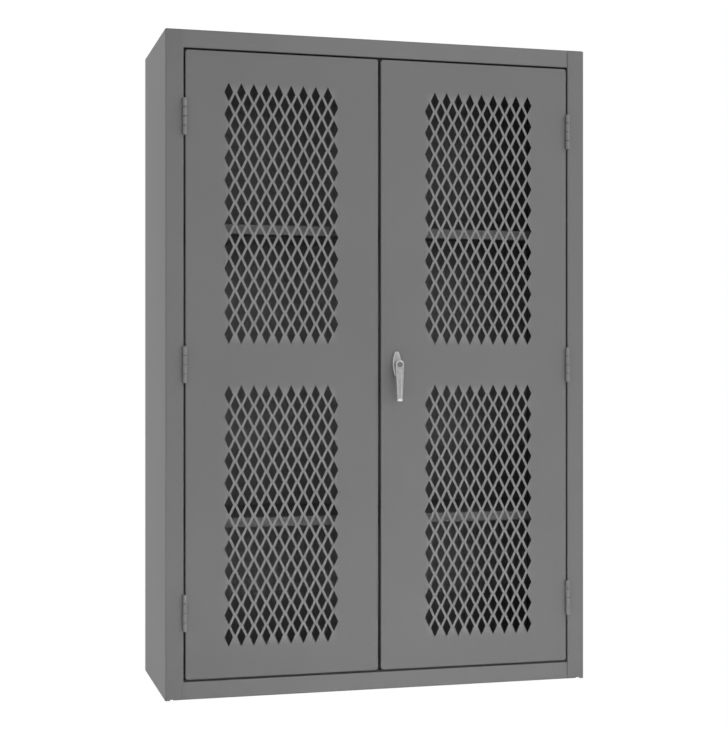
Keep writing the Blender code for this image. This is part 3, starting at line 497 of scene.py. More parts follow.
# The places of the diamonds on one door, the same rule on both, mirrored
def grillePlaces():
    low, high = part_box("right_door")
    start, span = door["grilleStart"], high.x - door["hingeMargin"] - door["grilleStart"]
    window = (high.z - low.z - door["midRail"]) / 2 - door["endMargin"]
    reach = (door["columns"] - 0.5) * door["columnPitch"] / 2
    return {
        "middleX": start + span / 2,
        "outermost": start + span / 2 + reach,
        "level": (low.z + high.z) / 2,
        "middleZ": (door["midRail"] + window) / 2,
        # the reach and fade of the painted strand highlight
        "halfX": reach + door["diamondWidth"] / 2,
        "halfZ": (door["rows"] - 1) * door["rowPitch"] / 2 + door["diamondHeight"] / 2,
        "fade": door["strandFade"],
    }


grille = grillePlaces()
finishes = {
    "case": powderCoat("greyPowderCoat", powder["level"]),
    # The doors' coat carries a painted highlight over their strands
    "door": powderCoat("greyPowderCoatDoorsPaintedHighlight", powder["level"], grille),
    # Painted light and shade: the header and sill lighter than the case, and darker in the seat
    # behind the doors
    "ends": powderCoat("greyPowderCoatEndsPaintedLightAndShade", powder["endLevel"], face=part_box("right_door")[0].y),
    "hinge": powderCoat("greyPowderCoatHinges", powder["hingeLevel"]),
    "shelf": powderCoat("greyPowderCoatShelves", powder["level"]),
    "zinc": satinMetal("satinCastZinc", *metal["cast"]),
    "lock": satinMetal("darkLockSteel", *metal["lock"], drawn=metal["drawnAcross"]),
    "plated": satinMetal("zincPlatedSteel", *metal["plate"], tint=metal["plateTint"]),
    # Painted shade: the pins are dark so that the knuckle gaps read as shaded
    "pin": satinMetal("pinSteelPaintedShade", *metal["pin"]),
}
print("finishes made")


# A tree with its named inputs, by kind, and the identifiers that a modifier needs to set them
def newTree(name, kinds):
    tree = bpy.data.node_groups.new(name, "GeometryNodeTree")
    add = tree.interface.new_socket
    identifiers = {}
    for kind, labels in {"Geometry": ["Geometry"], **kinds, "Material": ["finish"]}.items():
        for label in labels:
            socket = add(label, in_out="INPUT", socket_type="NodeSocket" + kind)
            identifiers[label] = socket.identifier
    add("Geometry", in_out="OUTPUT", socket_type="NodeSocketGeometry")
    board = Board(tree)
    return board, board.add("NodeGroupInput"), (tree, identifiers)


# Puts a piece through a tree whose inputs are named as its settings are. What comes out is
# closed, merged and turned outwards.
def useTree(piece, rule, settings):
    tree, identifiers = rule
    modifier = piece.modifiers.new(tree.name, "NODES")
    modifier.node_group = tree
    for label, identifier in identifiers.items():
        if label in settings:
            modifier[identifier] = settings[label]
    settle(piece)
    bm = bmesh.new()
    bm.from_mesh(piece.data)
    bmesh.ops.remove_doubles(bm, verts=bm.verts, dist=sheet["mergeDistance"])
    fillMesh(piece.data, bm)


# Closes both faces of a bent frame with sheet, leaving out windows of staggered diamonds. The
# frame is drawn flat with its front rim at height zero, and every open rim there bounds the sheet.
def perforatedTree():
    board, given, rule = newTree(
        "perforatedSheet",
        {
            "Float": (
                "diamondWidth", "diamondHeight", "tipRadius", "thickness",
                "columnStep", "rowPitch", "windowPitch",
            ),
            "Int": ("tipSteps", "columns", "rows", "windows"),
            "Vector": ("start",),
        },
    )
    vector = board.vector

    # A line of points up the sheet, centred on its middle
    def centred(count, pitch):
        return board.line(count, vector(y=(count - 1.0) * -0.5 * pitch), vector(y=pitch))

    index = board.add("GeometryNodeInputIndex")
    stagger = vector(x=(index % 2.0) * given["columnStep"] * 0.5)
    rows = centred(given["rows"], given["rowPitch"])
    rows = board.add("GeometryNodeSetPosition", {}, {"Geometry": rows, "Offset": stagger})
    columns = board.line(given["columns"], given["start"], vector(x=given["columnStep"]))
    windows = centred(given["windows"], given["windowPitch"])
    half = given["diamondHeight"] * 0.5
    sizes = {"Width": given["diamondWidth"], "Bottom Height": half, "Top Height": half}
    diamond = board.outline("KITE", sizes, given["tipRadius"], given["tipSteps"])
    holes = board.copies(board.copies(windows, board.copies(rows, columns)), diamond)

    height = board.parts(board.add("GeometryNodeInputPosition"))["Z"]
    sides = board.add("GeometryNodeInputMeshEdgeNeighbors")["Face Count"]
    behind = given["thickness"] * -0.5
    # An open edge has one face, any other has two
    isOpen = board.add("FunctionNodeCompare", {"operation": "LESS_THAN"}, {0: sides, 1: 1.5})
    higher = {"operation": "GREATER_THAN"}
    isFront = board.add("FunctionNodeCompare", higher, {0: height, 1: behind})
    both = board.add("FunctionNodeBooleanMath", {"operation": "AND"}, {0: isOpen, 1: isFront})
    rims = board.add("GeometryNodeMeshToCurve", {}, {"Mesh": given["Geometry"], "Selection": both})
    edges = {"Curve": board.join(rims, holes)}
    front = board.add("GeometryNodeFillCurve", {"mode": "TRIANGLES"}, edges)
    down = vector(z=-given["thickness"])
    back = board.add("GeometryNodeTransform", {}, {"Geometry": front, "Translation": down})
    walls = board.add("GeometryNodeCurveToMesh", {}, {"Curve": holes})
    drawn = {"Mesh": walls, "Offset": down, "Offset Scale": 1.0}
    walls = board.add("GeometryNodeExtrudeMesh", {"mode": "EDGES"}, drawn)
    flat = {"Geometry": board.join(front, back, walls), "Shade Smooth": False}
    flats = board.add("GeometryNodeSetShadeSmooth", {}, flat)
    whole = {"Geometry": board.join(given["Geometry"], flats), "Distance": sheet["mergeDistance"]}
    board.closeShape(board.add("GeometryNodeMergeByDistance", {}, whole), given["finish"])
    return rule


# The rings of a pan bent from one sheet: its bends, walls and turned-in lips, from the rim of
# its skin's outer face round to the rim of its inner one. Heights go down from the skin.
def panRings(bm, sides, top, depth, pan):
    inner, outer, lip = sheet["innerRadius"], outerRadius, pan["lip"]
    turns = [math.radians(90 * i / sheet["bendSteps"]) for i in range(sheet["bendSteps"] + 1)]
    levels = [(outer * (1 - math.sin(t)), outer * (1 - math.cos(t))) for t in turns]
    levels += [(outer * (1 - math.cos(t)), depth - outer * (1 - math.sin(t))) for t in turns]
    levels += [(lip, depth), (lip, depth - sheet["thickness"])]
    levels += [(outer - inner * math.sin(t), depth - outer + inner * math.cos(t)) for t in turns]
    levels += [(outer - inner * math.cos(t), outer - inner * math.sin(t)) for t in turns]
    left, right, low, high = sides
    rims = []
    for inset, level in levels:
        radius = max(pan["corner"] - inset, sheet["leastCorner"])
        edges = (left + inset, right - inset, low + inset, high - inset)
        outline = roundedBox(*edges, radius, pan["cornerSteps"])
        rims.append(addLoop(bm, "Z", outline, top - level))
    for near, far in zip(rims, rims[1:]):
        bridgeLoops(bm, near, far)
    return rims


# A door's pan lying flat, without its skin, and the walls of the round holes in that skin
def doorFrame(name, tubes):
    low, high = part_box(name)
    bm = bmesh.new()
    panRings(bm, (low.x, high.x, low.z, high.z), 0.0, door["depth"], door)
    for centre, radius in tubes:
        outline = ringPoints(centre, radius, door["holeSides"])
        front, back = (addLoop(bm, "Z", outline, level) for level in (0.0, -sheet["thickness"]))
        bridgeLoops(bm, front, back)
    return bm


def makeDoor(node, side, rule, tubes):
    piece = addPiece(node + "_pan", doorFrame(node, tubes))
    own = {
        "start": (side * grille["outermost"], grille["level"], 0.0),
        "columnStep": -side * door["columnPitch"],
        "windowPitch": 2 * grille["middleZ"],
        "finish": finishes["door"],
    }
    useTree(piece, rule, {**sheet, **door, **own})
    upright = Matrix.Rotation(math.radians(90), 4, "X")
    piece.data.transform(Matrix.Translation((0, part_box(node)[0].y, 0)) @ upright)
    dress(piece, "door", node, node)


def makeDoors():
    rule = perforatedTree()
    tubes = []
    for name, radius in (
        ("lock_plug", door["spindleHole"]),
        ("handle_upper_screw", door["screwHole"]),
        ("handle_lower_screw", door["screwHole"]),
    ):
        centre = centreOf(name)
        tubes.append(((centre.x, centre.z), radius))
    makeDoor("left_door", -1, rule, [])
    makeDoor("right_door", 1, rule, tubes)


makeDoors()
print("doors made")


case = {
    "rearFlange": 20.0 * mm,
    "baseFlange": 22.0 * mm,
    "flangeLap": 27.6 * mm,
    "lapReach": 30.0 * mm,
    "headerHeight": 50.8 * mm,
    "headerReach": 40.0 * mm,
    "sillHeight": 49.6 * mm,
    "stileCorner": 9.0 * mm,
    "stileCornerSteps": 10,
    "stileTopTrim": 4.0 * mm,
    "stileFootTrim": 3.2 * mm,
    "stileNotchStart": 12.7 * mm,
}
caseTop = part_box("top_panel")[1].z
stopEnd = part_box("sill_stop")[1].y


# A side wall with its rear flange, the front stile and the stile's return. Above and below
# the opening the stile keeps its bend, loses its return and is trimmed round its corner.
def makeSidePanel(side, word):
    node = f"{word}_side_panel"
    low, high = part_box(node)
    outer, inner = (low.x, high.x) if side < 0 else (high.x, low.x)
    path = [
        (outer - side * case["rearFlange"], high.y),
        (outer, high.y),
        (outer, low.y),
        (inner, low.y),
        (inner, stopEnd),
    ]
    piece = foldedPiece(f"{word}_side", node, "Z", path, -side)
    fit, over = 2 * sheet["clearance"], sheet["overrun"]
    clear, past = inner - side * over, outer + side * over
    corner, steps = case["stileCorner"], case["stileCornerSteps"]
    middle = inner + side * corner
    notch = outer - side * case["stileNotchStart"]
    start = 0 if side < 0 else 180
    head, foot = caseTop - case["stileTopTrim"], case["stileFootTrim"]
    top = [(clear, caseTop), (clear, head - corner)]
    top += arcPoints((middle, head - corner), corner, start, 90, steps)
    top += [(past, head), (past, caseTop)]
    bottom = [(clear, low.z - over), (clear, foot + corner)]
    bottom += arcPoints((middle, foot + corner), corner, -start, -90, steps)
    bottom += [(notch, foot), (notch, low.z - over)]
    bend = low.y + outerRadius
    trims, returns = bmesh.new(), bmesh.new()
    for cutter in (top, bottom):
        prism("Y", cutter, (low.y - over, bend), bm=trims)
    headerLow = caseTop - case["headerHeight"]
    for levels in ((low.z - over, case["sillHeight"] + fit), (headerLow - fit, caseTop)):
        block((clear, inner + side * outerRadius), (bend, stopEnd + over), levels, returns)
    combined(piece, trims)
    combined(piece, returns)
    dress(piece, "case", "cabinet", node)


# What is cut from both ends of the roof and the floor, where they lap the sides
def lapCuts(node, rearLow):
    low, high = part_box(node)
    stileInner, outer = (corner.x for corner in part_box("right_side_panel"))
    over, fit = sheet["overrun"], sheet["clearance"]
    bends = outerRadius + fit
    bm = bmesh.new()
    for side in (-1, 1):
        past = side * (outer + over)
        lap = (side * (stileInner + case["flangeLap"]), past)
        block(lap, (low.y - over, low.y + case["lapReach"]), (low.z - over, high.z - bends), bm)
        flange = (side * (outer - case["rearFlange"] - fit), past)
        block(flange, (high.y - bends, high.y + over), (rearLow - over, high.z + over), bm)
    return bm


def makeTopPanel():
    low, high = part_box("top_panel")
    over, fit = sheet["overrun"], sheet["clearance"]
    stopFace = stopEnd - sheet["thickness"]
    headerLow, rearLow = high.z - case["headerHeight"], high.z - case["rearFlange"]
    path = [
        (high.y, rearLow),
        (high.y, high.z),
        (low.y, high.z),
        (low.y, headerLow),
        (stopFace, headerLow),
        (stopFace, low.z),
    ]
    piece = foldedPiece("top_and_header", "top_panel", "X", path, 1)
    combined(piece, lapCuts("top_panel", rearLow))
    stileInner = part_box("right_side_panel")[0].x
    depths = (low.y - over, low.y + case["headerReach"])
    ends = bmesh.new()
    for side in (-1, 1):
        reach = (side * (stileInner - fit), side * (stileInner + case["flangeLap"] + over))
        block(reach, depths, (low.z - over, headerLow - fit), ends)
    combined(piece, ends)
    dress(piece, "ends", "cabinet", "top_panel")


def makeBottomPanel():
    low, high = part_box("bottom_panel")
    path = [
        (low.y + case["baseFlange"], low.z),
        (low.y, low.z),
        (low.y, high.z),
        (high.y, high.z),
        (high.y, low.z),
        (high.y - case["baseFlange"], low.z),
    ]
    piece = foldedPiece("floor_and_sill", "bottom_panel", "X", path, -1)
    combined(piece, lapCuts("bottom_panel", low.z))
    dress(piece, "ends", "cabinet", "bottom_panel")


for side, word in ((-1, "left"), (1, "right")):
    makeSidePanel(side, word)
makeTopPanel()
makeBottomPanel()
print("case made")


hinge = {
    "knuckles": 4,
    "knuckleGap": 1.5 * mm,
    "barrelRadius": 6.1 * mm,
    "pinRadius": 3.0 * mm,
    "pinPlay": 0.15 * mm,
    "pinEdge": 1.0 * mm,
    "leafGap": 0.4 * mm,
    "leafSheet": 1.9 * mm,
    "leafFront": 6.6 * mm,
    "tabFront": 4.6 * mm,
    "leafCorner": 2.0 * mm,
    "cornerSteps": 4,
    "edge": 0.9 * mm,
    "edgeSteps": 3,
    "sides": 40,
}


# Rolled knuckles in a row, joined to the leaf that is given
def knuckleTree():
    board, given, rule = newTree(
        "rolledKnuckles",
        {
            "Float": ("barrelRadius", "boreRadius", "knuckleLength", "edge", "step"),
            "Int": ("edgeSteps", "sides", "count"),
            "Vector": ("start",),
        },
    )
    barrel, bore = given["barrelRadius"], given["boreRadius"]
    sizes = {"Width": barrel - bore, "Height": given["knuckleLength"]}
    wall = board.outline("RECTANGLE", sizes, given["edge"], given["edgeSteps"])
    circle = {"Resolution": given["sides"], "Radius": (barrel + bore) * 0.5}
    ring = board.add("GeometryNodeCurvePrimitiveCircle", {"mode": "RADIUS"}, circle)
    ring = board.add("GeometryNodeSetCurveNormal", {"mode": "Z_UP"}, {"Curve": ring})
    knuckle = board.add("GeometryNodeCurveToMesh", {}, {"Curve": ring, "Profile Curve": wall})
    points = board.line(given["count"], given["start"], board.vector(z=given["step"]))
    whole = board.join(given["Geometry"], board.copies(points, knuckle))
    board.closeShape(whole, given["finish"])
    return rule


# The flat of a leaf, with a tab that runs into each of its knuckles
def makeLeaf(node, body, pin, first, rule):
    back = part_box(node)[1].y
    low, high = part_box(pin)
    centre = centreOf(pin)
    length = (high.z - low.z) / hinge["knuckles"]
    half = (length - hinge["knuckleGap"]) / 2
    middles = [high.z - (i + 0.5) * length for i in range(first, hinge["knuckles"], 2)]
    front, tab = centre.y + hinge["leafFront"], centre.y + hinge["tabFront"]
    corner, steps = hinge["leafCorner"], hinge["cornerSteps"]
    outline = arcPoints((back - corner, low.z + corner), corner, 270, 360, steps)
    outline += arcPoints((back - corner, high.z - corner), corner, 0, 90, steps)
    outline.append((front, high.z))
    rise = half - hinge["edge"]
    for middle in middles:
        above, below = middle + rise, middle - rise
        outline += [(front, above), (tab, above), (tab, below), (front, below)]
    outline.append((front, low.z))
    way = -1 if node.endswith("frame_leaf") == (centre.x < 0) else 1
    near = centre.x + way * hinge["leafGap"] / 2
    faces = (near, near + way * hinge["leafSheet"])
    piece = addPiece(node.replace("_hinge", ""), prism("X", outline, faces))
    own = {
        "boreRadius": hinge["pinRadius"] + hinge["pinPlay"],
        "knuckleLength": 2 * half,
        "count": len(middles),
        "start": (centre.x, centre.y, middles[0]),
        "step": -2 * length,
        "finish": finishes["hinge"],
    }
    useTree(piece, rule, {**hinge, **own})
    dress(piece, "hinge", body, node)


def makePin(name, node):
    low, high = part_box(node)
    centre = centreOf(node)
    ends = quarterRound(hinge["pinEdge"], hinge["edgeSteps"])
    profile = [(hinge["pinRadius"] - inset, low.z + along) for inset, along in reversed(ends)]
    profile += [(hinge["pinRadius"] - inset, high.z - along) for inset, along in ends]
    bar = addPiece(name, lathe("Z", (centre.x, centre.y), profile, hinge["sides"]))
    dress(bar, "pin", "cabinet", node)


def makeHinges():
    rule = knuckleTree()
    for word, doorFirst in (("left", 0), ("right", 1)):
        for height in ("upper", "middle", "lower"):
            name = f"{word}_{height}_hinge"
            pin = name + "_pin"
            makeLeaf(name + "_frame_leaf", "cabinet", pin, 1 - doorFirst, rule)
            makeLeaf(name + "_door_leaf", word + "_door", pin, doorFirst, rule)
            makePin(name + "_bar", pin)


makeHinges()
print("hinges made")


shelf = {
    "lip": 12.0 * mm,
    "corner": 4.0 * mm,
    "cornerSteps": 6,
    "slotWidth": 8.0 * mm,
    "slotHeight": 17.0 * mm,
    "slotCorner": 2.5 * mm,
    "slotSteps": 4,
    "slotDrop": 6.75 * mm,
    "slotsBetween": 10,
}


def makeShelf(node):
    low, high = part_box(node)
    bm = bmesh.new()
    rims = panRings(bm, (low.x, high.x, low.y, high.y), high.z, high.z - low.z, shelf)
    capLoop(bm, rims[0])
    capLoop(bm, rims[-1])
    dress(addPiece(node + "_pan", bm), "shelf", "cabinet", node)


# Cuts a column of round-cornered slots through the rail that is given
def slotTree():
    board, given, rule = newTree(
        "slottedRail",
        {
            "Float": ("slotWidth", "slotHeight", "slotDepth", "slotCorner", "pitch"),
            "Int": ("slotSteps", "count"),
            "Vector": ("start",),
        },
    )
    sizes = {"Width": given["slotWidth"], "Height": given["slotHeight"]}
    outline = board.outline("RECTANGLE", sizes, given["slotCorner"], given["slotSteps"])
    reach = given["slotDepth"] * 0.5
    ends = {"Start": board.vector(x=-reach), "End": board.vector(x=reach)}
    path = board.add("GeometryNodeCurvePrimitiveLine", {}, ends)
    path = board.add("GeometryNodeSetCurveNormal", {"mode": "Z_UP"}, {"Curve": path})
    solid = {"Curve": path, "Profile Curve": outline, "Fill Caps": True}
    plug = board.add("GeometryNodeCurveToMesh", {}, solid)
    points = board.line(given["count"], given["start"], board.vector(z=given["pitch"]))
    rail = board.add(
        "GeometryNodeMeshBoolean",
        {"operation": "DIFFERENCE", "solver": "EXACT"},
        {"Mesh 1": given["Geometry"], "Mesh 2": board.copies(points, plug)},
    )
    board.closeShape(rail, given["finish"])
    return rule


def makeStandard(node, side, rule):
    low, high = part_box(node)
    wall, web = (low.x, high.x) if side < 0 else (high.x, low.x)
    path = [(wall, low.y), (web, low.y), (web, high.y), (wall, high.y)]
    piece = foldedPiece(node + "_rail", node, "Z", path, -side)
    clips = [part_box(f"{word}_shelf_left_front_clip")[1] for word in ("lower", "upper")]
    seat, nextSeat = (clip.z - shelf["slotDrop"] for clip in clips)
    pitch = (nextSeat - seat) / shelf["slotsBetween"]
    below = int((seat - low.z - shelf["slotHeight"]) / pitch)
    above = int((high.z - seat - shelf["slotHeight"]) / pitch)
    own = {
        "slotDepth": 2 * sheet["overrun"],
        "start": (web, (low.y + high.y) / 2, seat - below * pitch),
        "pitch": pitch,
        "count": below + above + 1,
        "finish": finishes["case"],
    }
    useTree(piece, rule, {**shelf, **own})
    dress(piece, "case", "cabinet", node)


def makeShelves():
    for word in ("upper", "lower"):
        makeShelf(word + "_shelf")
    rule = slotTree()
    for side, word in ((-1, "left"), (1, "right")):
        for place in ("front", "rear"):
            makeStandard(f"{word}_{place}_shelf_standard", side, rule)


makeShelves()
print("shelves made")


handle = {
    "sides": 64,
    "outlineSteps": 28,
    "roundSteps": 6,
    "leverThickness": 10.0 * mm,
    "headRadius": 12.5 * mm,
    "tipWidth": 14.8 * mm,
    "tipCorner": 2.0 * mm,
    "frontRound": 3.4 * mm,
    "backRound": 1.0 * mm,
    "slantHeight": 7.0 * mm,
    "slantDepth": 4.0 * mm,
    "grooveWidth": 4.4 * mm,
    "grooveDepth": 1.2 * mm,
    "grooveSlope": 2.2 * mm,
    "grooveSteps": 4,
    "grooveStart": 18.0 * mm,
    "grooveEnd": 94.0 * mm,
    "hubRadius": 7.5 * mm,
    "hubPlay": 0.5 * mm,
    "hubLap": 2.5 * mm,
    "socketSide": 8.6 * mm,
    "socketDepth": 12.0 * mm,
    "plateEndWidth": 10.4 * mm,
    "plateRound": 2.8 * mm,
    "plateRim": 0.5 * mm,
    "plateDish": 1.5 * mm,
    "plateSlope": 1.4 * mm,
    "screwRadius": 2.3 * mm,
    "screwLength": 5.0 * mm,
    "lockRadius": 7.8 * mm,
    "lockDepth": 8.0 * mm,
    "lockFloor": 1.9 * mm,
    "lockEdge": 0.5 * mm,
    "plugRadius": 5.6 * mm,
    "plugPlay": 0.2 * mm,
    "keywayLength": 7.0 * mm,
    "keywayWidth": 1.6 * mm,
    "keywayCorner": 0.48 * mm,
    "keywaySteps": 4,
    "keywayDepth": 4.0 * mm,
}
axle = centreOf("lock_plug")
axlePlace = (axle.x, axle.z)


# The cast plate behind the lever: a pointed oval with a rounded rim round a shallow dish
def makeEscutcheon():
    low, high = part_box("handle_escutcheon")
    middle = centreOf("handle_escutcheon")
    bulge = (high.x - low.x - handle["plateEndWidth"]) / 2

    def outline(inset):
        half = (high.z - low.z) / 2 - inset
        radius = (half**2 + bulge**2) / (2 * bulge)
        reach = math.degrees(math.asin(half / radius))
        shift = (high.x - low.x) / 2 - inset - radius
        points, count = [], handle["outlineSteps"]
        for way, start in ((1, 0), (-1, 180)):
            centre = (middle.x + way * shift, middle.z)
            points += arcPoints(centre, radius, start - reach, start + reach, count)
        return points

    steps = handle["roundSteps"]
    sections = [(outline(0), high.y)]
    for inset, along in quarterRound(handle["plateRound"], steps):
        sections.append((outline(inset), low.y + along))
    for i in range(steps + 1):
        inset = handle["plateRound"] + handle["plateRim"] + handle["plateSlope"] * i / steps
        fall = (1 - math.cos(math.pi * i / steps)) / 2
        sections.append((outline(inset), low.y + fall * handle["plateDish"]))
    piece = addPiece("escutcheon_plate", loft("Y", sections))
    over, sides = sheet["overrun"], handle["sides"]
    bore = handle["hubRadius"] + handle["hubPlay"]
    holes = cylinder("Y", axlePlace, bore, (low.y - over, high.y + over), sides)
    for word in ("upper", "lower"):
        screw = centreOf(f"handle_{word}_screw")
        ends = (high.y - handle["screwLength"], high.y + over)
        cylinder("Y", (screw.x, screw.z), handle["screwRadius"], ends, sides, holes)
    combined(piece, holes)
    dress(piece, "zinc", "right_door", "handle_escutcheon")


# The lever: a rounded casting with a groove down its face, a slanted tip and a round hub
def makeLever():
    low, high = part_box("handle_lever")
    steps, sides = handle["roundSteps"], handle["sides"]
    over, fit = sheet["overrun"], sheet["clearance"]
    back = low.y + handle["leverThickness"]

    def outline(inset):
        corner = handle["tipCorner"]
        half = handle["tipWidth"] / 2 - inset
        bottom = low.z + inset + corner
        head = handle["headRadius"] - inset
        points = arcPoints(axlePlace, head, 0, 180, handle["outlineSteps"])
        points += arcPoints((axle.x - half + corner, bottom), corner, 180, 270, steps)
        return points + arcPoints((axle.x + half - corner, bottom), corner, 270, 360, steps)

    front = quarterRound(handle["frontRound"], steps)
    rear = quarterRound(handle["backRound"], steps)
    sections = [(outline(inset), low.y + along) for inset, along in reversed(front)]
    sections += [(outline(inset), back - along) for inset, along in rear]
    piece = addPiece("lever_casting", loft("Y", sections))
    hub = (back - handle["hubLap"], high.y)
    combined(piece, cylinder("Y", axlePlace, handle["hubRadius"], hub, sides), "UNION")

    def groove(widen):
        half = handle["grooveWidth"] / 2 + widen
        left, right = axle.x - half, axle.x + half
        top = axle.z - handle["grooveStart"] + widen - half
        end = axle.z - handle["grooveEnd"] - widen
        arch = arcPoints((axle.x, top), half, 0, 180, steps)[1:-1]
        return [(right, end), (right, top), *arch, (left, top), (left, end)]

    slope, depth = handle["grooveSlope"], handle["grooveDepth"]
    cutter = [(groove(slope), low.y - over)]
    for i in range(handle["grooveSteps"] + 1):
        share = i / handle["grooveSteps"]
        cutter.append((groove(slope * (1 - share)), low.y + depth * math.sin(math.pi / 2 * share)))
    combined(piece, loft("Y", cutter))

    # The slanted face, carried on past the tip at both its ends
    rise, deep = handle["slantHeight"], handle["slantDepth"]
    slant = [
        (low.y - deep, low.z + 2 * rise),
        (low.y - deep, low.z - rise),
        (low.y + 2 * deep, low.z - rise),
    ]
    holes = prism("X", slant, (axle.x - handle["tipWidth"], axle.x + handle["tipWidth"]))
    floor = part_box("lock_cylinder")[0].y + handle["lockDepth"] + fit
    bore, edge = handle["lockRadius"] + fit, handle["lockEdge"]
    profile = [(bore + edge + over, low.y - over), (bore + edge, low.y), (bore, low.y + edge)]
    lathe("Y", axlePlace, [*profile, (bore, floor)], sides, holes)
    half = handle["socketSide"] / 2
    socket = (high.y - handle["socketDepth"], high.y + over)
    block((axle.x - half, axle.x + half), socket, (axle.z - half, axle.z + half), holes)
    combined(piece, holes)
    dress(piece, "zinc", "handle", "handle_lever")


def makeLock():
    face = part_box("lock_cylinder")[0].y
    floor = face + handle["lockDepth"]
    outer, bore = handle["lockRadius"], handle["plugRadius"] + handle["plugPlay"]
    edge = handle["lockEdge"]
    corner = quarterRound(edge, handle["roundSteps"])
    profile = [(outer, floor)]
    profile += [(outer - inset, face + along) for inset, along in corner]
    profile += [(bore + inset, face + edge - along) for along, inset in corner]
    profile.append((bore, floor - handle["lockFloor"]))
    sleeve = addPiece("lock_sleeve", lathe("Y", axlePlace, profile, handle["sides"]))
    dress(sleeve, "lock", "handle", "lock_cylinder")

    low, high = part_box("lock_plug")
    profile = [(handle["plugRadius"], high.y)]
    profile += [(handle["plugRadius"] - inset, low.y + along) for inset, along in corner]
    plug = addPiece("key_plug", lathe("Y", axlePlace, profile, handle["sides"]))
    long, wide = handle["keywayLength"] / 2, handle["keywayWidth"] / 2
    edges = (axle.x - long, axle.x + long, axle.z - wide, axle.z + wide)
    slot = roundedBox(*edges, handle["keywayCorner"], handle["keywaySteps"])
    combined(plug, prism("Y", slot, (low.y - sheet["overrun"], low.y + handle["keywayDepth"])))
    dress(plug, "lock", "lock_plug", "lock_plug")


makeEscutcheon()
makeLever()
makeLock()
print("handle made")


latch = {
    "sides": 32,
    "steps": 6,
    "rodRadius": 4.76 * mm,
    "rodPlay": 0.6 * mm,
    "rodTaper": 3.0 * mm,
    "rodTip": 3.2 * mm,
    "rodEdge": 0.6 * mm,
    "plate": 3.0 * mm,
    "camRadius": 21.0 * mm,
    "camSteps": 72,
    "tongueWidth": 18.0 * mm,
    "tongueCorner": 4.0 * mm,
    "pinCircle": 16.0 * mm,
    "pinRadius": 2.5 * mm,
    "pinHeadRadius": 3.9 * mm,
    "pinHead": 1.2 * mm,
    "pinEdge": 0.4 * mm,
    "pinLap": 1.5 * mm,
    "slotPlay": 0.3 * mm,
    "slotSway": 0.48 * mm,
    "slotCorner": 1.0 * mm,
    "tabWall": 2.2 * mm,
    "tabNeck": 16.0 * mm,
    "guideReach": 10.0 * mm,
    "nutSides": 6,
    "nutRadius": 5.2 * mm,
    "nutHole": 2.5 * mm,
    "nutEdge": 0.5 * mm,
    "screwRadius": 2.0 * mm,
    "screwHead": 2.2 * mm,
    "headRadius": 3.8 * mm,
    "headEdge": 0.8 * mm,
    "driveLength": 4.4 * mm,
    "driveWidth": 0.9 * mm,
    "driveDepth": 1.2 * mm,
    "hatFlange": 9.0 * mm,
    "hatDepth": 14.0 * mm,
}
pinRise = latch["pinCircle"] / math.sqrt(2)  # the cam's pins stand at 45 degrees


def makeStiffeners():
    for side, word in ((-1, "left"), (1, "right")):
        node = word + "_door_stiffener"
        low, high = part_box(node)
        start, end = (low.x, high.x) if side > 0 else (high.x, low.x)
        first, last = start + side * latch["hatFlange"], end - side * latch["hatFlange"]
        near, far = low.y, low.y + latch["hatDepth"]
        path = [(start, near), (first, near), (first, far), (last, far), (last, near), (end, near)]
        dress(foldedPiece(word + "_hat", node, "Z", path, side), "case", word + "_door", node)


def makeSillStop():
    low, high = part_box("sill_stop")
    path = [(low.y, low.z), (high.y, low.z), (high.y, high.z)]
    dress(foldedPiece("stop_angle", "sill_stop", "X", path, 1), "ends", "cabinet", "sill_stop")


# The cam: a disc with a tongue, a square hole and two headed pins
def makeCam():
    low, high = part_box("latch_cam")
    half, radius = latch["tongueWidth"] / 2, latch["camRadius"]
    spread = math.degrees(math.asin(half / radius))
    outline = arcPoints(axlePlace, radius, 90 + spread, 450 - spread, latch["camSteps"])
    corner = latch["tongueCorner"]
    for way, start in ((1, 0), (-1, 90)):
        place = (axle.x + way * (half - corner), high.z - corner)
        outline += arcPoints(place, corner, start, start + 90, latch["steps"])
    side = handle["socketSide"] / 2
    corners = ((1, 1), (-1, 1), (-1, -1), (1, -1))
    square = [(axle.x + x * side, axle.z + z * side) for x, z in corners]
    back = low.y + latch["plate"]
    piece = addPiece("cam_plate", prism("Y", outline, (low.y, back), [square]))
    shank, head, edge = latch["pinRadius"], latch["pinHeadRadius"], latch["pinEdge"]
    seat = high.y - latch["pinHead"]
    profile = [(shank, back - latch["pinLap"]), (shank, seat)]
    profile += [(head, seat), (head, high.y - edge), (head - edge, high.y)]
    pins = bmesh.new()
    for way in (-1, 1):
        lathe("Y", (axle.x + way * pinRise, axle.z - way * pinRise), profile, latch["sides"], pins)
    combined(piece, pins, "UNION")
    dress(piece, "plated", "handle", "latch_cam")


# A rod with a pointed end, and the slotted tab that the cam's pin drives
def makeRod(word, way):
    node = word + "_rod"
    low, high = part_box(node)
    radius, edge = latch["rodRadius"], latch["rodEdge"]
    wall, steps = latch["tabWall"], latch["steps"]
    middle = (low.x + high.x) / 2
    tip = high.z if way > 0 else low.z
    level = axle.z - way * pinRise
    profile = [(radius, level + way * (latch["tabNeck"] - wall))]
    profile += [(radius, tip - way * latch["rodTaper"])]
    profile += [(latch["rodTip"], tip - way * edge), (latch["rodTip"] - edge, tip)]
    bar = lathe("Z", (middle, high.y - radius), profile[::way], latch["sides"])
    piece = addPiece(word + "_latch_bar", bar)
    half = (latch["pinCircle"] - pinRise) / 2 + latch["pinRadius"] + latch["slotPlay"]
    sway = latch["pinRadius"] + latch["slotSway"] + latch["slotPlay"]
    left, right = middle - half, middle + half
    slot = roundedBox(left, right, level - sway, level + sway, latch["slotCorner"], steps)
    ends = sorted((level - way * (sway + wall), level + way * latch["tabNeck"]))
    tab = roundedBox(left - wall, right + wall, *ends, wall, steps)
    combined(piece, prism("Y", tab, (low.y, low.y + latch["plate"]), [slot]), "UNION")
    dress(piece, "plated", node, node)


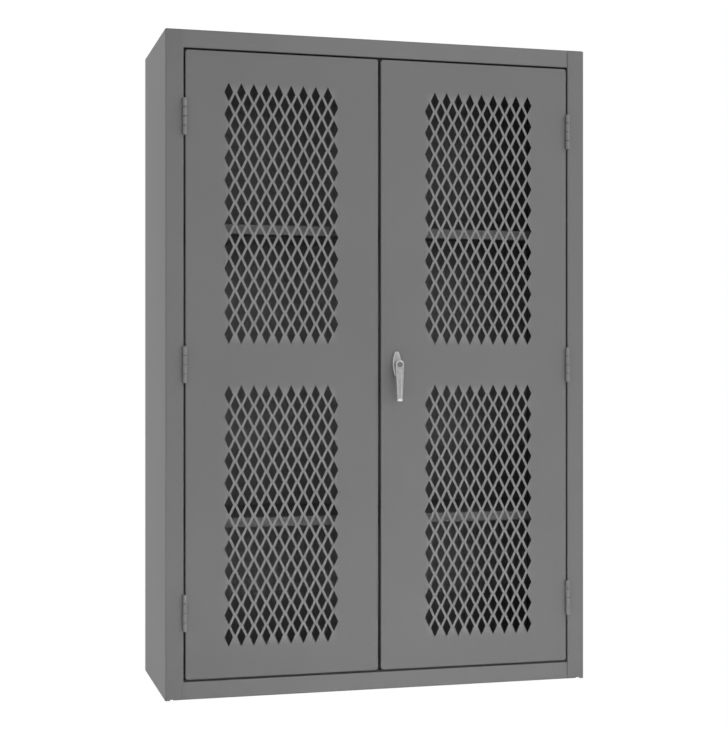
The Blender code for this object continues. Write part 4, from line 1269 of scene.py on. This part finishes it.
# The bent angle inside the door that steadies a rod
def makeGuide(word, way):
    node = word + "_rod_guide"
    low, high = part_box(node)
    level, foot = (high.z, low.z) if way > 0 else (low.z, high.z)
    path = [(low.y, foot), (low.y, level), (high.y, level)]
    piece = foldedPiece(word + "_guide_angle", node, "X", path, -way)
    near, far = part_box(word + "_rod")
    place = ((near.x + far.x) / 2, far.y - latch["rodRadius"])
    bore = latch["rodRadius"] + latch["rodPlay"]
    ends = sorted((level - way * latch["guideReach"], level + way * sheet["overrun"]))
    combined(piece, cylinder("Z", place, bore, ends, latch["sides"]))
    dress(piece, "plated", "right_door", node)


# A screw from inside the door, with a rounded head and a cross drive
def makeScrew(word):
    node = f"handle_{word}_screw"
    low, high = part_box(node)
    centre = centreOf(node)
    shank, head, seat = latch["screwRadius"], latch["headRadius"], high.y - latch["screwHead"]
    profile = [(shank, low.y), (shank, seat), (head, seat)]
    for inset, along in quarterRound(latch["headEdge"], latch["steps"]):
        profile.append((head - inset, high.y - along))
    screw = lathe("Y", (centre.x, centre.z), profile, latch["sides"])
    piece = addPiece(word + "_fixing_screw", screw)
    long, wide = latch["driveLength"] / 2, latch["driveWidth"] / 2
    depths = (high.y - latch["driveDepth"], high.y + sheet["overrun"])
    for across, up in ((long, wide), (wide, long)):
        x, z = (centre.x - across, centre.x + across), (centre.z - up, centre.z + up)
        combined(piece, block(x, depths, z))
    dress(piece, "plated", "right_door", node)


def makeNut():
    low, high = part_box("cam_nut")
    edge = latch["nutEdge"]
    full = ringPoints(axlePlace, latch["nutRadius"], latch["nutSides"])
    small = ringPoints(axlePlace, latch["nutRadius"] - edge, latch["nutSides"])
    hole = ringPoints(axlePlace, latch["nutHole"], latch["sides"])
    sections = [(small, low.y), (full, low.y + edge), (full, high.y - edge), (small, high.y)]
    dress(addPiece("hex_nut", loft("Y", sections, [hole])), "plated", "handle", "cam_nut")


makeStiffeners()
makeSillStop()
for word, way in (("upper", 1), ("lower", -1)):
    makeRod(word, way)
    makeGuide(word, way)
    makeScrew(word)
makeCam()
makeNut()
print("latch made")


# The back panel, the spindle and the shelf clips stay as packed, and only get their finish
def finishNodes():
    kept = {"case_paint": "case", "plated_steel": "plated"}
    for part in frame["record"]["subparts"]:
        node = frame["nodes"][part["node"]]
        if not node.hide_render:
            coat(node, kept[part["material_slot"]])


finishNodes()
print("packed nodes finished")


# The floor, the white surround and the lamps. Each lamp is given by its place, the place it
# looks at, its width and height in metres, and its power in watts.
studio = {
    "ambient": 0.505,
    "floorSize": 60.0,
    "floorLevel": 0.99,
    "floorWhite": 0.97,
    "floorGlow": 1.016,
    "dimTowards": (0.20, -0.97, 0.10),
    "dimEdge": 0.35,
    "dimDepth": 0.60,
    "dimStart": 1.2,
    "dimSpan": 2.0,
    "lamps": {
        "frontRight": ((3.4, -4.6, 1.4), (0.1, 0.0, 0.8), (3.0, 3.0), 54.0),
        "frontLeft": ((-3.6, -4.6, 1.4), (-0.1, 0.0, 0.8), (3.0, 3.0), 10.0),
        "frontMiddle": ((0.5, -5.5, 1.0), (0.1, 0.0, 0.9), (2.0, 3.0), 55.0),
        "rightSide": ((3.6, -1.6, 4.4), (0.4, -0.2, 1.0), (1.5, 1.5), 45.0),
        "lowFill": ((0.0, -1.2, 0.035), (0.0, 0.0, 0.3), (1.4, 0.05), 3.3),
        "topFill": ((0.2, -1.6, 1.8), (0.2, 0.0, 1.8), (1.6, 0.3), 1.6),
    },
    "mirroredLamp": "rightSide",  # the only one that shiny surfaces show
}


# Where only the eye, a mirror or glass looks, rather than the light
def seenDirectly(board):
    rays = board.add("ShaderNodeLightPath")
    seen = rays["Is Camera Ray"] + rays["Is Glossy Ray"] + rays["Is Transmission Ray"]
    return seen.clamped()


# How much a shiny surface sees dimmed: the studio is darker in front, as a room is
def dimmed(board, share):
    return share.clamped() * board.add("ShaderNodeLightPath")["Is Glossy Ray"] * studio["dimDepth"]


def makeWorld():
    world = bpy.data.worlds.new("studioWorld")
    world.use_nodes = True
    world.node_tree.nodes.clear()
    board = Board(world.node_tree)
    lit = studio["ambient"] + seenDirectly(board) * (1.0 - studio["ambient"])
    way = board.add("ShaderNodeTexCoord")["Generated"]
    towards = {0: way, 1: studio["dimTowards"]}
    facing = board.add("ShaderNodeVectorMath", {"operation": "DOT_PRODUCT"}, towards)["Value"]
    strength = lit - dimmed(board, (facing - studio["dimEdge"]) / (1.0 - studio["dimEdge"]))
    background = board.add("ShaderNodeBackground", {}, {"Color": grey(1.0), "Strength": strength})
    board.add("ShaderNodeOutputWorld", {}, {"Surface": background})
    bpy.context.scene.world = world


def makeFloor():
    finish, board = newFinish("studioFloor")
    matt = board.add("ShaderNodeBsdfDiffuse", {}, {"Color": grey(studio["floorLevel"])})
    ahead = -board.parts(board.add("ShaderNodeNewGeometry")["Position"])["Y"]
    strength = studio["floorGlow"] - dimmed(board, (ahead - studio["dimStart"]) / studio["dimSpan"])
    glow = board.add("ShaderNodeEmission", {}, {"Color": grey(1.0), "Strength": strength})
    share = seenDirectly(board) * studio["floorWhite"]
    both = board.add("ShaderNodeMixShader", {}, {0: share, 1: matt, 2: glow})
    board.add("ShaderNodeOutputMaterial", {}, {"Surface": both})
    half = studio["floorSize"] / 2
    corners = ((-half, -half), (half, -half), (half, half), (-half, half))
    bm = bmesh.new()
    bm.faces.new([bm.verts.new((x, y, 0.0)) for x, y in corners])
    floor = addPiece("studio_floor", bm)
    floor.data.materials.append(finish)


def makeLamps():
    for name, (place, aim, size, watts) in studio["lamps"].items():
        light = bpy.data.lights.new(name, "AREA")
        light.shape = "RECTANGLE"
        light.size, light.size_y = size
        light.energy = watts
        holder = bpy.data.objects.new(name, light)
        holder.location = place
        way = Vector(aim) - Vector(place)
        holder.rotation_euler = way.to_track_quat("-Z", "Y").to_euler()
        holder.visible_camera = False
        holder.visible_glossy = name == studio["mirroredLamp"]
        bpy.context.scene.collection.objects.link(holder)


view = {
    "place": (-1.17776, -4.48219, 0.91383),
    "turn": -15.204,
    "lens": 77.751,
    "sensor": 36.0,
    "shiftX": -0.01696,
    "shiftY": 0.00025,
}


def makeCamera():
    lens = bpy.data.cameras.new("photoView")
    lens.lens = view["lens"]
    lens.sensor_width = view["sensor"]
    lens.shift_x = view["shiftX"]
    lens.shift_y = view["shiftY"]
    camera = bpy.data.objects.new("photoView", lens)
    camera.location = view["place"]
    camera.rotation_euler = (math.radians(90), 0.0, math.radians(view["turn"]))
    bpy.context.scene.collection.objects.link(camera)
    bpy.context.scene.camera = camera


makeWorld()
makeFloor()
makeLamps()
makeCamera()
bpy.context.scene.view_settings.view_transform = "Standard"
print("studio made")
